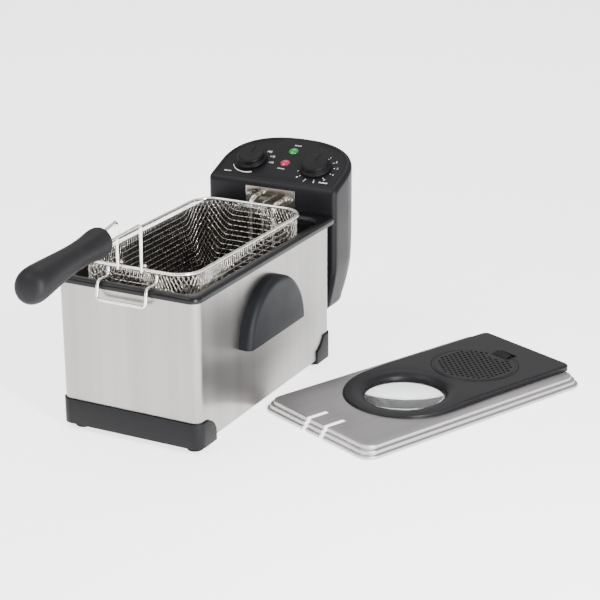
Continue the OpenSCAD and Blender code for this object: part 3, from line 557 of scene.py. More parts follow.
def fired_enamel(name="black_pot_enamel"):
    """Black pot coating: near black and glossy, with tiny pale flecks and a slight orange peel."""
    mat, tree, out, at = start_finish(name)
    fleck = add_node(tree, "ShaderNodeTexVoronoi", {"Vector": at, "Scale": 420.0}).outputs["Distance"]
    surface(tree, out, {
        "Base Color": ramp(tree, fleck, [(0.05, linear("#303033")), (0.14, linear("#0C0C0E"))]),
        "Roughness": 0.3, "IOR": 1.52, "Specular IOR Level": 0.2, "Coat Weight": 0.06, "Coat Roughness": 0.12,
        "Normal": bumped(tree, noise(tree, at, 260.0, 2.0), 0.08, 0.3)})
    return mat


def plain_metal(name, tone, roughness=(0.25, 0.42), scale=60.0):
    """Rolled or plated metal: its own colour with faint cloudy wear in tone and gloss."""
    mat, tree, out, at = start_finish(name)
    wear = noise(tree, at, scale, 5.0, 0.6)
    base = linear(tone)
    surface(tree, out, {
        "Base Color": ramp(tree, wear, [(0.3, shade(base, 0.78)), (0.65, base)]), "Metallic": 1.0,
        "Roughness": spread(tree, wear, 0.3, 0.7, roughness), "Normal": bumped(tree, wear, 0.04, 0.3)})
    return mat


def tinted_lens(name, tone):
    """Tinted acrylic lamp lens: deep colour and gloss, with painted glints of the prisms inside as brighter
    spots, and a faint painted glow.
    """
    mat, tree, out, at = start_finish(name)
    prisms = add_node(tree, "ShaderNodeTexVoronoi", {"Vector": at, "Scale": 700.0}).outputs["Distance"]
    base = linear(tone)
    surface(tree, out, {
        # Painted glints: the colour is brighter in the middle of each prism cell and darker towards its
        # edges.
        "Base Color": ramp(tree, prisms, [(0.1, base), (0.7, shade(base, 0.55))]),
        "Roughness": 0.12, "IOR": 1.49, "Coat Weight": 0.6, "Coat Roughness": 0.05,
        # Faint painted glow in the lens colour; the bulbs behind it are not lit.
        "Emission Color": base, "Emission Strength": 0.06})
    return mat


def window_glass_finish(name="toughened_glass"):
    """Toughened window glass: clear with a faint green-grey body and sharp reflections."""
    mat, tree, out, at = start_finish(name)
    haze = noise(tree, at, 35.0, 3.0)
    surface(tree, out, {
        "Base Color": ramp(tree, haze, [(0.3, linear("#F1F4F4")), (0.7, linear("#FBFCFC"))]),
        "Roughness": spread(tree, haze, 0.35, 0.75, (0.02, 0.1)), "IOR": 1.52, "Transmission Weight": 0.97})
    return mat


def filter_fleece(name="filter_fleece"):
    """Needled filter fleece: matt off-white fibres, with painted shade in the small dark gaps between them.
    """
    mat, tree, out, at = start_finish(name)
    fibre = noise(tree, at, 900.0, 6.0, 0.8)
    surface(tree, out, {
        # The dark end of the fibre ramp is painted shade in the gaps between fibres.
        "Base Color": ramp(tree, fibre, [(0.3, linear("#5F5B54")), (0.6, linear("#A8A297"))]),
        "Roughness": 0.95,
        "Normal": bumped(tree, fibre, 0.5, 0.6)})
    return mat


FINISHES = {}


def finish(key):
    """The finish of that name, made once."""
    if not FINISHES:
        look = bpy.context.scene.fryer_looks
        FINISHES.update({
            "housing": brushed_stainless("brushed_stainless_housing", look.steel, (0.5, 0.5), 60.0, (0, 0, 0),
                                         (0.27, 0.33)),
            "lid": brushed_stainless("brushed_stainless_lid", look.lid_steel, (70.0, 0.5), 0.5,
                                     (0, 0, -LID_TURN), (0.36, 0.44)),
            "sheet": plain_metal("rolled_steel_sheet", "#A9A7A3", (0.3, 0.45)),
            "plate": plain_metal("polished_mounting_plate", "#A8A29A", (0.26, 0.38), 90.0),
            "screw": plain_metal("zinc_plated_screw", "#D5D3CE", (0.25, 0.38), 200.0),
            "heater": plain_metal("heater_sheath_steel", "#DDD8D0", (0.2, 0.32), 120.0),
            "capillary": plain_metal("tinned_capillary", "#A79E92", (0.28, 0.4), 120.0),
            "trim": moulded_plastic("charcoal_polypropylene_trim", look.trim),
            "handle": moulded_plastic("charcoal_handle_plastic", look.side_handle),
            "grip": moulded_plastic("phenolic_grip", look.grip, 1.1, 0.05, (0.44, 0.58)),
            "head": moulded_plastic("black_head_plastic", look.head, 0.8, 0.07, (0.34, 0.46)),
            "panel": moulded_plastic("satin_panel_plastic", look.panel, 0.6, 0.05, (0.52, 0.62)),
            "knob": moulded_plastic("black_knob_plastic", look.knob, 0.7, 0.05, (0.42, 0.55)),
            "bezel": moulded_plastic("dark_grey_lid_plastic", look.bezel, 0.8, 0.05, (0.3, 0.4)),
            "rubber": moulded_plastic("moulded_rubber", "#1B1B1C", 1.2, 0.1, (0.7, 0.85)),
            "ivory": moulded_plastic("ivory_switch_plastic", "#D9D4C6"),
            "resin": moulded_plastic("brown_thermoset", "#6B4A34"),
            "red": moulded_plastic("red_button_plastic", "#A32A2A"),
            "ink": moulded_plastic("printed_white_ink", "#E6E6E6", 0.5, 0.02, (0.5, 0.6)),
            "lamp": moulded_plastic("small_lamp_glass", "#EFE6C8", 2.0, 0.01, (0.1, 0.2)),
            "red_lens": tinted_lens("red_acrylic_lens", look.red_lens),
            "green_lens": tinted_lens("green_acrylic_lens", look.green_lens),
            "enamel": fired_enamel(),
            "wire": bright_wire(),
            "glass": window_glass_finish(),
            "fleece": filter_fleece(),
        })
    return FINISHES[key]


# ------------------------------------------------------------------ settings


def hex_setting(name, what, default):
    """A setting that holds an sRGB hex colour."""
    return bpy.props.StringProperty(name=name, description="sRGB hex colour of " + what, default=default)


class FryerLooks(bpy.types.PropertyGroup):
    """Colours and sizes a user would change."""

    steel: hex_setting("Housing steel", "the housing", "#9A9896")
    lid_steel: hex_setting("Lid steel", "the lid", "#B9B6B7")
    trim: hex_setting("Trim", "the foot trims", "#101012")
    side_handle: hex_setting("Side handles", "the side handles", "#0F1114")
    grip: hex_setting("Grip", "the basket grip", "#181719")
    head: hex_setting("Head", "the control head", "#121215")
    panel: hex_setting("Panel", "the control panel", "#121214")
    knob: hex_setting("Knobs", "the knobs", "#09090B")
    bezel: hex_setting("Lid plastic", "the lid plastic", "#1A191B")
    red_lens: hex_setting("Power lens", "the power lens", "#A81640")
    green_lens: hex_setting("Ready lens", "the ready lens", "#128A2C")
    mesh_pitch: bpy.props.FloatProperty(
        name="Mesh pitch", description="Spacing of the basket wires", default=0.0062, unit="LENGTH")
    mesh_wire: bpy.props.FloatProperty(
        name="Mesh wire", description="Radius of the basket wires", default=0.00031, unit="LENGTH")
    floor_tone: bpy.props.FloatProperty(
        name="Floor", description="Brightness of the floor", default=0.9, subtype="FACTOR")


# ------------------------------------------------------------------ operators


class FRYER_OT_housing(bpy.types.Operator):
    """Steel housing, base, trims, feet, side handles and the rail at the rear"""

    bl_idname = "fryer.housing"
    bl_label = "Housing and trims"

    def execute(self, context):
        def row(inset, z):
            """The housing's outline drawn in by inset, at the height z."""
            o = outline(-HX + inset, HX - inset, HY - inset, 10 - min(inset, 9), 12, 10)
            return fryer(np.column_stack([o, np.full(len(o), z)]))

        rows = [row(18, 12.1), row(1.5, 12.1), row(0.3, 12.4), row(0, 13.2), row(0, 60), row(0, 110),
                row(0, TOP - 1),
                row(0, TOP - 0.1), row(0.8, TOP - 0.1), row(0.8, 110),
                row(0.8, 60), row(0.8, 13), row(18, 12.9)]
        points, faces = loft(rows)
        n = rows[0].shape[0]
        k = np.arange(n)
        base = (len(rows) - 1) * n
        seam = np.stack([base + k, base + (k + 1) % n, (k + 1) % n, k], -1)
        add_mesh("housing_walls", [(points, np.concatenate([faces, seam]))], "fryer_body", ["housing_shell"],
                 finish("housing"), 60)
        softened("front_trim", "front_foot_trim", finish("trim"), "fryer_body", 1.1, 3)
        softened("rear_trim", "rear_foot_trim", finish("trim"), "fryer_body", 1.1, 3)
        softened("rubber_feet", "round_feet", finish("rubber"), "fryer_body", 1.2, 3)
        for side in ("left", "right"):
            softened("side_handle_" + side, side + "_side_handle", finish("handle"),
                     "fryer_body", 1.2, 3, 30, 30)
        softened("head_rail", "rear_rail", finish("head"), "fryer_body", 0.5, 2)
        return {"FINISHED"}


class FRYER_OT_pot(bpy.types.Operator):
    """Lift-out pot: a rolled rim, straight walls and a rounded floor in one skin"""

    bl_idname = "fryer.pot"
    bl_label = "Pot"

    def execute(self, context):
        outer = outline(-HX - 0.6, RIM_REAR, HY + 0.6, 10.6, 12, 12)
        inner = outline(-HX + 8.2, HX - 6.2, HY - 8.2, 18.8, 12, 12)

        def shelf(blend, z):
            """A loop between the outer and the inner outline, at the height z."""
            o = outer * (1 - blend) + inner * blend
            return np.column_stack([o, np.full(len(o), z)])

        def wall(inset, z):
            """The pot wall's outline drawn in by inset, at the height z."""
            o = outline(-HX + 8.2 + inset, HX - 6.2 - inset, HY - 8.2 - inset, 18.8 - min(inset, 15), 12, 12)
            return np.column_stack([o, np.full(len(o), z)])

        a = np.linspace(0, np.pi / 2, 7)
        rows = [shelf(0.0, TOP + 0.1), shelf(0.0, RIM_TOP - 3)]
        rows += [shelf(0.3 * (1 - math.cos(t)), RIM_TOP - 3 + 3 * math.sin(t)) for t in a[1:]]
        rows += [shelf(0.5, RIM_TOP), shelf(0.7, RIM_TOP - 0.1)]
        rows += [shelf(0.7 + 0.3 * math.sin(t), RIM_TOP - 0.1 - 2.6 * (1 - math.cos(t))) for t in a[1:]]
        rows += [wall(0.0, z) for z in (160, 130, 100, 70, 45, 35.2)]
        rows += [wall(12 * (1 - math.cos(t)), 35.2 - 12 * math.sin(t)) for t in a[1:]]
        rows += [wall(30, 23.2), wall(55, 23.2)]
        pot = add_mesh("oil_pan", [loft(fryer(rows), close_last=True)], "pot", ["oil_pot"],
                       finish("enamel"), 60)
        finish_mesh(pot, thickness=1.1)
        return {"FINISHED"}


class FRYER_OT_basket(bpy.types.Operator):
    """Basket: a drawn woven wire pan on a rim, with its hook and floor rails"""

    bl_idname = "fryer.basket"
    bl_label = "Wire basket"

    def execute(self, context):
        look = context.scene.fryer_looks
        pitch, radius = look.mesh_pitch / MM, look.mesh_wire / MM
        turn = 12.0
        skin = 1.9
        half_l = (BASKET_X1 - BASKET_X0) / 2 - skin
        half_w = BASKET_HALF - skin
        middle_x = (BASKET_X0 + BASKET_X1) / 2
        low = BASKET_LOW + 0.9
        depth = BASKET_Z - low
        run = turn * math.pi / 2 + depth - turn
        flat_l, flat_w = half_l - turn, half_w - turn
        lean = 0.42

        def drawn(a, b):
            """Where the point (a, b) of the flat woven sheet lies once drawn into the basket.

            Inside the floor it stays put. Beyond it, the overshoot is a climb up the wall, first
            round a quarter turn. Past two edges at once the sheet shears: the climb is a rounded
            sum of both overshoots, and the place along the wall is their difference times a lean.
            """
            da = np.maximum(np.abs(a) - flat_l, 0)
            db = np.maximum(np.abs(b) - flat_w, 0)
            climb = (da**1.7 + db**1.7) ** (1 / 1.7)
            t = np.clip(climb / (turn * math.pi / 2), 0, 1) * math.pi / 2
            inset = turn * (1 - np.sin(t))
            z = low + turn * (1 - np.cos(t)) + np.maximum(climb - turn * math.pi / 2, 0)
            r = 22.0 * np.clip(climb / 20, 0, 1)
            arc = r * math.pi / 4
            straight_l = half_l - inset - r
            straight_w = half_w - inset - r
            quarter_l, quarter_w = straight_l + arc, straight_w + arc
            shift = lean * climb * np.clip(climb / 60, 0, 1) ** 0.5
            share = np.where(climb > 0, (db - da) / np.maximum(climb, 1e-6), 0) * shift
            on_long = (db > 0) & (da <= 0)
            on_short = (da > 0) & (db <= 0)
            from_corner = np.where(
                on_long, quarter_l - np.abs(a) * (quarter_l - shift) / flat_l,
                np.where(on_short, -(quarter_w - np.abs(b) * (quarter_w - shift) / flat_w), share))
            on_arc = np.abs(from_corner) <= arc
            ang = math.pi / 4 + np.clip(from_corner, -arc, arc) / np.maximum(r, 1e-6)
            ang = np.where(r > 1e-6, ang, math.pi / 4)
            over = np.abs(from_corner) - arc
            x = np.where(on_arc, straight_l + r * np.cos(ang),
                         np.where(from_corner > 0, straight_l - over, half_l - inset))
            y = np.where(on_arc, straight_w + r * np.sin(ang),
                         np.where(from_corner > 0, half_w - inset, straight_w - over))
            floor = climb <= 0
            x = np.where(floor, np.abs(a), x)
            y = np.where(floor, np.abs(b), y)
            return np.stack([middle_x + np.copysign(x, a), np.copysign(y, b), z], -1), climb

        def wires(flat_this, flat_other, swap):
            """All wires of one direction: a fixed sheet line each, waved over and under the others."""
            reach = flat_this + run
            count = int(reach / pitch)
            line = (np.arange(-count, count + 1)) * pitch
            steps = int((flat_other + run) / (pitch / 2)) + 1
            along = np.arange(-steps, steps + 1) * (pitch / 2)
            u, v = np.meshgrid(line, along, indexing="ij")

            def at(u, v):
                """The sheet point, with its two directions swapped where the wires run across."""
                return drawn(v, u) if swap else drawn(u, v)

            p, climb = at(u, v)
            e = 0.4
            du = at(u + e, v)[0] - at(u - e, v)[0]
            dv = at(u, v + e)[0] - at(u, v - e)[0]
            normal = np.cross(du, dv) if not swap else np.cross(dv, du)
            normal /= np.maximum(np.linalg.norm(normal, axis=-1, keepdims=True), 1e-9)
            phase = np.pi * (u / pitch + v / pitch)
            wave = np.cos(phase) * (1 if not swap else -1) * radius * 0.95
            p = p + normal * wave[..., None]
            t = np.gradient(p, axis=1)
            t /= np.maximum(np.linalg.norm(t, axis=-1, keepdims=True), 1e-9)
            side = np.cross(t, normal)
            side /= np.maximum(np.linalg.norm(side, axis=-1, keepdims=True), 1e-9)
            up = np.cross(side, t)
            ang = np.linspace(0, 2 * np.pi, 5, endpoint=False)
            ring = (p[:, :, None] + radius * (np.cos(ang)[:, None] * side[:, :, None]
                                              + np.sin(ang)[:, None] * up[:, :, None]))
            keep = climb <= run - 0.6
            n, m = p.shape[:2]
            cell = np.arange(5)
            base = (np.arange(n)[:, None] * m + np.arange(m)[None]) * 5
            ok = keep[:, :-1] & keep[:, 1:]
            b0, b1 = base[:, :-1][ok][:, None], base[:, 1:][ok][:, None]
            nxt = (cell + 1) % 5
            quads = np.stack([b0 + cell, b0 + nxt, b1 + nxt, b1 + cell], -1).reshape(-1, 4)
            fan = np.array([[0, 2, 1, 1], [0, 3, 2, 2], [0, 4, 3, 3]])
            edge = np.zeros((n, 1), bool)
            starts = base[np.concatenate([~edge, ~keep[:, :-1]], 1) & np.concatenate([ok, edge], 1)]
            ends = base[np.concatenate([~keep[:, 1:], ~edge], 1) & np.concatenate([edge, ok], 1)]
            caps = [(starts[:, None, None] + fan).reshape(-1, 4),
                    (ends[:, None, None] + fan[:, ::-1]).reshape(-1, 4)]
            quads = np.concatenate([quads] + caps)
            used, index = np.unique(quads, return_inverse=True)
            return fryer(ring.reshape(-1, 3)[used]), index.reshape(-1, 4)

        first = wires(flat_l, flat_w, False)
        second = wires(flat_w, flat_l, True)
        add_mesh("basket_cross_wires", [first], "basket", ["basket_mesh"], finish("wire"), 180)
        add_mesh("basket_long_wires", [second], "basket", ["basket_mesh"], finish("wire"), 180)

        def ring(inset, z, r):
            """One closed wire of radius r round the basket, at the height z."""
            o = outline(BASKET_X0 + inset, BASKET_X1 - inset, BASKET_HALF - inset, 25.7 - inset, 14, 20)
            return tube(fryer(np.column_stack([o, np.full(len(o), z)])), r * MM, 12, True, (0, 0, 1))

        add_mesh("basket_rim_wire", [ring(0, BASKET_Z, 1.9)], "basket", ["basket_rim"],
                 finish("wire"), 180)

        hook_y, hook_x = 29.5, -HX - 8
        over, down = RIM_TOP + 1.9, TOP - 9.5
        path = rounded([(BASKET_X0 + 0.4, -hook_y, BASKET_Z - 3), (BASKET_X0 - 1.2, -hook_y, over + 1.5),
                        (hook_x + 3, -hook_y, over + 2.2), (hook_x, -hook_y, down), (hook_x, hook_y, down),
                        (hook_x + 3, hook_y, over + 2.2), (BASKET_X0 - 1.2, hook_y, over + 1.5),
                        (BASKET_X0 + 0.4, hook_y, BASKET_Z - 3)], 5.0, 8)
        hook = self.bent_wire(path, 1.7)
        add_mesh("front_hook", [hook], "basket", ["basket_hook"], finish("wire"), 180)
        softened("basket_frame", "floor_rails", finish("wire"), "basket", 0.2, 1)
        return {"FINISHED"}

    @staticmethod
    def bent_wire(path, radius):
        """Round wire along a path that turns in more than one plane.

        The circle's axis is carried along by removing from it, at each step, its part along the path.
        """
        p = even(path, 1.6)
        t = np.gradient(p, axis=0)
        t /= np.linalg.norm(t, axis=1, keepdims=True)
        axis = np.zeros_like(p)
        a = np.cross(t[0], [0.3, 0.2, 0.9])
        for i in range(len(p)):
            a = a - t[i] * (a @ t[i])
            a = a / np.linalg.norm(a)
            axis[i] = a
        b = np.cross(t, axis)
        ang = np.linspace(0, 2 * np.pi, 12, endpoint=False)
        ring = p[:, None] + radius * (np.cos(ang)[:, None] * axis[:, None]
                                      + np.sin(ang)[:, None] * b[:, None])
        points = np.concatenate([ring.reshape(-1, 3), p[:1], p[-1:]])
        faces = grid_faces(len(p), 12, wrap_cols=True)
        k = np.arange(12)
        k2 = (k + 1) % 12
        end = (len(p) - 1) * 12
        low = np.stack([np.full(12, len(points) - 2), k2, k, k], -1)
        high = np.stack([np.full(12, len(points) - 1), end + k, end + k2, end + k2], -1)
        return fryer(points), np.concatenate([faces, low, high])


class FRYER_OT_basket_handle(bpy.types.Operator):
    """Basket handle: two sprung wires and a waisted grip"""

    bl_idname = "fryer.basket_handle"
    bl_label = "Basket handle"

    def execute(self, context):
        pivot_x, arm_y = BASKET_X0, 14.4
        apex_x, apex_z = pivot_x - 4, BASKET_Z + 50
        grip_x, grip_z = pivot_x - 55.6, apex_z - 5.2
        shapes = []
        for s in (-1, 1):
            a = np.radians(np.linspace(80, -180, 14))
            loop = np.stack([pivot_x + 4.6 * np.cos(a), np.full(14, s * arm_y),
                             BASKET_Z + 4.6 * np.sin(a)], -1)
            rest = rounded([loop[-1], (apex_x, s * arm_y, apex_z), (grip_x - 6, s * 8, grip_z - 0.5)], 4.0, 8)
            shapes.append(FRYER_OT_basket.bent_wire(np.concatenate([loop[:-1], rest]), 1.7))
        add_mesh("handle_wire_pair", shapes, "basket_handle", ["handle_wires"],
                 finish("wire"), 180)

        knots = [(12.6, 0.0), (15.3, 1.4), (16.3, 6), (15.8, 14), (14.4, 26), (13.7, 43), (14.2, 60),
                 (15.5, 78),
                 (17.1, 96), (18.2, 110), (18.0, 118), (16.0, 124), (11.8, 128.1), (5.4, 129.8)]
        prof = np.concatenate([[[0.0, 0.7], [7.0, 0.5], [11.3, 0.1]], smooth_profile(knots, 90),
                               [[0.0, 130.0]]])
        p, f = lathe(prof, 72)
        run = p[:, 2]
        bow = 1.4 * np.sin(np.pi * np.clip(run / 130, 0, 1))
        x, y, z = -run * 0.996, p[:, 1], p[:, 0] * 0.97 + bow
        droop = math.radians(5.2)
        gx = grip_x + x * math.cos(droop) + z * math.sin(droop)
        gz = grip_z + x * math.sin(droop) + z * math.cos(droop)
        add_mesh("moulded_grip", [(fryer(np.stack([gx, y, gz], -1)), f)], "basket_handle", ["handle_grip"],
                 finish("grip"), 60)
        return {"FINISHED"}


def head_outline(inset, count=40):
    """Plan of the head: straight front and sides with small front corners, and a full rounded rear.

    The rear's X and Y parts are cosine and sine raised to 0.85, between an ellipse and a rectangle.
    inset draws the rear in along its normals and moves each front corner in with a smaller radius.
    """
    start, r = 30.0, max(6.0 - inset, 0.8)
    t = np.linspace(-np.pi / 2, np.pi / 2, 2 * count + 1)
    rear = np.stack([HEAD_X + start + (HEAD_REAR - HEAD_X - start) * np.cos(t).clip(0) ** 0.85,
                     HEAD_HALF * np.sign(np.sin(t)) * np.abs(np.sin(t)) ** 0.85], -1)
    along = np.gradient(rear, axis=0)
    along[[0, -1]] = [[1, 0], [-1, 0]]
    along /= np.linalg.norm(along, axis=1, keepdims=True)
    rear = rear + np.stack([-along[:, 1], along[:, 0]], -1) * inset
    middle_x, middle_y = HEAD_X + inset + r, HEAD_HALF - inset - r
    a = np.radians(np.linspace(90, 180, 9))
    left = np.stack([middle_x + r * np.cos(a), middle_y + r * np.sin(a)], -1)
    right = left[::-1] * [1, -1]
    w = np.linspace(0, 1, 6)[1:-1, None]
    across = np.linspace(0, 1, 26)[1:-1, None]
    return np.concatenate([rear, rear[-1] * (1 - w) + left[0] * w, left,
                           left[-1] * (1 - across) + right[0] * across,
                           right, right[-1] * (1 - w) + rear[0] * w])


def slope_z(x, lift=0.0):
    """Height of the sloping panel plane over X, raised along its normal."""
    return HEAD_FRONT_TOP + (x - HEAD_X) * math.tan(SLOPE) + lift / math.cos(SLOPE)


class FRYER_OT_head(bpy.types.Operator):
    """Control head: one soft shell with a lip round its panel, and the panel with its print"""

    bl_idname = "fryer.head"
    bl_label = "Control head"

    def execute(self, context):
        low, wall = HEAD_LOW + 0.6, 2.4
        centre = np.array([HEAD_X + 27, 0.0, 0.0])

        def on_slope(inset, lift):
            """The plan drawn in by inset and laid on the panel slope, raised by lift."""
            o = head_outline(inset)
            return np.column_stack([o, slope_z(o[:, 0], lift)])

        def tapered(inset, z):
            """The plan drawn in by inset at the heights z, its rear and sides also drawn in downward."""
            o = head_outline(inset)
            rear = 22 * np.clip((HEAD_LOW + 100 - z) / 100, 0, 1) ** 2.2
            side = 11 * np.clip((HEAD_LOW + 60 - z) / 60, 0, 1) ** 1.6
            x = HEAD_X + (o[:, 0] - HEAD_X) * (1 - rear / (HEAD_REAR - HEAD_X))
            return np.column_stack([x, o[:, 1] * (1 - side / HEAD_HALF), z])

        def upright(inset, lift, bottom, count):
            """Rings from the bottom height up to the slope plane lowered by lift."""
            top = slope_z(head_outline(inset)[:, 0], lift)
            return [tapered(inset, bottom * (1 - w) + top * w) for w in np.linspace(0, 1, count)]

        inside = upright(wall, -8.0, low + wall, 14)
        rows = [inside[0] * 0 + centre + [0, 0, low + wall]] + inside
        rows += [on_slope(wall, -4.4), on_slope(7.6, -4.4), on_slope(7.6, -1.9),
                 on_slope(6.7, -1.9), on_slope(6.7, -0.6)]
        for t in np.linspace(0, np.pi / 2, 9):
            rows.append(on_slope(6.2 - 6.2 * math.sin(t), -6.2 * (1 - math.cos(t)) - 0.1))
        rows += upright(0.0, -6.3, low + 10, 26)[-2::-1]
        last = rows[-1]
        for t in np.linspace(0, np.pi / 2, 9)[1:]:
            pull = 1 - 8.0 * (1 - math.cos(t)) / 70
            ring = centre + (last - centre) * [pull, pull, 0]
            ring[:, 0] = np.maximum(ring[:, 0], HEAD_X)
            ring[:, 2] = low + 10 - 10 * math.sin(t)
            rows.append(ring)
        shell = add_mesh("head_casing", [loft(fryer(rows), close_last=True)], "head", ["head_shell"],
                         finish("head"), 50)
        inlet_z = TOP - 62
        cutters = [
            box_shape(HEAD_X - 2, HEAD_X + 4, -12.5, 12.5, HEAD_LOW - 2, TOP - 18),
            box_shape(HEAD_REAR - 40, HEAD_REAR + 4, -15.2, 15.2, inlet_z - 11.2, inlet_z + 11.2),
            box_shape(HEAD_X + 3.1, HEAD_REAR - 40.9, -63.1, 63.1, HEAD_LOW - 2, HEAD_LOW + 4),
        ]
        for shape in cutters:
            cut(shell, [shape], fryer)
        reset = prism([[0, 0]], 4.4, -8, 6, 32).reshape(-1, 3)
        reset = np.stack([HEAD_REAR + reset[:, 2], reset[:, 1], TOP - 20 + reset[:, 0]], -1)
        cut(shell, [(reset, prism_faces(32))], fryer)
        self.panel()
        self.fittings()
        return {"FINISHED"}

    @staticmethod
    def panel():
        """The panel skin: loops of the head's plan drawn in from its edge to the middle, on the slope."""
        rows = []
        edge = head_outline(6.8)
        centre = np.array([HEAD_X + 40, 0.0])
        for scale, lift in ((0.0, -1.6), (1.0, -1.6), (1.0, -0.75), (0.996, -0.6), (0.7, -0.6), (0.35, -0.6)):
            o = centre + (edge - centre) * scale
            rows.append(np.column_stack([o, slope_z(o[:, 0], lift)]))
        add_mesh("panel_skin", [loft(fryer(rows), close_last=True)], "head", ["control_panel"],
                 finish("panel"), 50)
        marks = []
        lift = -0.52

        def add_mark(p, f):
            """Adds a flat mark as a closed slab of ink on the panel."""
            p, f = slab(p, f, 0.1)
            marks.append((fryer(panel_place(p)), f))

        def patch(cx, cy, length, width, turn):
            """A turned rectangle of ink."""
            c, s = math.cos(turn), math.sin(turn)
            u = np.array([[-1, -1], [1, -1], [1, 1], [-1, 1]]) * [length / 2, width / 2]
            p = np.stack([cx + u[:, 0] * c - u[:, 1] * s, cy + u[:, 0] * s + u[:, 1] * c,
                          np.full(4, lift)], -1)
            add_mark(p, np.array([[0, 1, 2, 3]]))

        def arc(cx, cy, radius, a0, a1, w0, w1):
            """An arc of ink whose width goes from w0 to w1."""
            a = np.radians(np.linspace(a0, a1, 40))
            w = np.linspace(w0, w1, 40)
            inner, outer = (np.stack([cx + edge * np.cos(a), cy + edge * np.sin(a), np.full(40, lift)], -1)
                            for edge in (radius - w / 2, radius + w / 2))
            p = np.stack([inner, outer], 0)
            add_mark(p.reshape(-1, 3), grid_faces(2, 40)[:, ::-1])

        def label(cx, cy, letters):
            """A short generic word as a row of small upright bars."""
            for k in range(letters):
                patch(cx, cy + 1.9 * (k - (letters - 1) / 2), 1.9, 1.1, 0)

        for k in range(9):
            a = math.radians(-18 - 29 * k)
            patch(KNOB_X + 21.8 * math.cos(a), -KNOB_Y + 21.8 * math.sin(a), 1.8, 0.8, a)
        arc(KNOB_X, KNOB_Y, 22.6, 118, 205, 0.5, 2.0)
        label(KNOB_X - 24, KNOB_Y + 21, 5)
        label(KNOB_X - 23.5, -KNOB_Y - 19.5, 6)
        label(76.0, -0.5, 5)
        label(29.2, 0.5, 5)

        def digits(text, cx, cy, height):
            """Small number on the panel, read from the front, made a mesh at once."""
            curve = bpy.data.curves.new("digits", "FONT")
            curve.body = text
            curve.size = height
            curve.align_x = "CENTER"
            curve.align_y = "CENTER"
            holder = bpy.data.objects.new("digits", curve)
            bpy.context.scene.collection.objects.link(holder)
            bpy.context.view_layer.update()
            graph = bpy.context.evaluated_depsgraph_get()
            mesh = bpy.data.meshes.new_from_object(holder.evaluated_get(graph))
            co = np.zeros(len(mesh.vertices) * 3, np.float32)
            mesh.vertices.foreach_get("co", co)
            co = co.reshape(-1, 3).astype(float)
            mesh.calc_loop_triangles()
            tri = np.zeros(len(mesh.loop_triangles) * 3, np.int32)
            mesh.loop_triangles.foreach_get("vertices", tri)
            tri = tri.reshape(-1, 3)
            p = np.stack([cx + co[:, 1], cy - co[:, 0], np.full(len(co), lift)], -1)
            add_mark(p, np.column_stack([tri, tri[:, 2]]))
            bpy.data.objects.remove(holder)
            bpy.data.meshes.remove(mesh)
            bpy.data.curves.remove(curve)

        for k, value in enumerate(("1", "2", "3", "4", "5", "6", "7", "8")):
            a = math.radians(-18 - 29 * k)
            digits(value, KNOB_X + 25.6 * math.cos(a), -KNOB_Y + 25.6 * math.sin(a), 4.0)
        for value, turn in (("190", -33), ("170", -60), ("150", -87)):
            a = math.radians(turn)
            digits(value, KNOB_X + 25.0 * math.cos(a), KNOB_Y + 25.0 * math.sin(a), 4.6)
        add_mesh("panel_print", marks, "head", [], finish("ink"), 180)

    @staticmethod
    def fittings():
        """Knobs turned from a profile, lenses, and the mounting plate with its screws."""
        r = 19.0
        prof = [(0, 0.3), (r - 1.0, 0.3), (r - 0.3, 0.6), (r, 1.3), (r, 2.4), (r - 0.3, 3.3),
                (r - 1.0, 4.0), (r - 1.9, 4.3),
                (r - 2.4, 4.8), (r - 2.55, 5.6), (r - 2.65, 8.0), (r - 2.9, 9.3),
                (r - 3.6, 10.1), (r - 4.8, 10.45),
                (r - 6.5, 10.5), (6, 10.5), (0, 10.5)]
        controls = ((-1, "thermostat_control", "thermostat_knob"), (1, "timer_control", "timer_knob"))
        for side, body, node in controls:
            p, f = lathe(prof, 96)
            p = p + [KNOB_X, side * KNOB_Y, 0]
            m, ridge = box_shape(KNOB_X + 3.0, KNOB_X + r - 4.2, side * KNOB_Y - 0.7, side * KNOB_Y + 0.7,
                                 10.0, 11.0)
            add_mesh(node + "_cap", [(fryer(panel_place(p)), f), (fryer(panel_place(m)), ridge)],
                     body, [node],
                     finish("knob"), 40)
        softened("power_lens", "red_lamp_lens", finish("red_lens"), "head", 0.3, 2, 30)
        softened("ready_lens", "green_lamp_lens", finish("green_lens"), "head", 0.3, 2, 30)
        softened("element_plate", "heater_plate", finish("plate"), "head", 0.35, 2)
        softened("plate_screws", "heater_plate_screws", finish("screw"), "head", 0.6, 3)


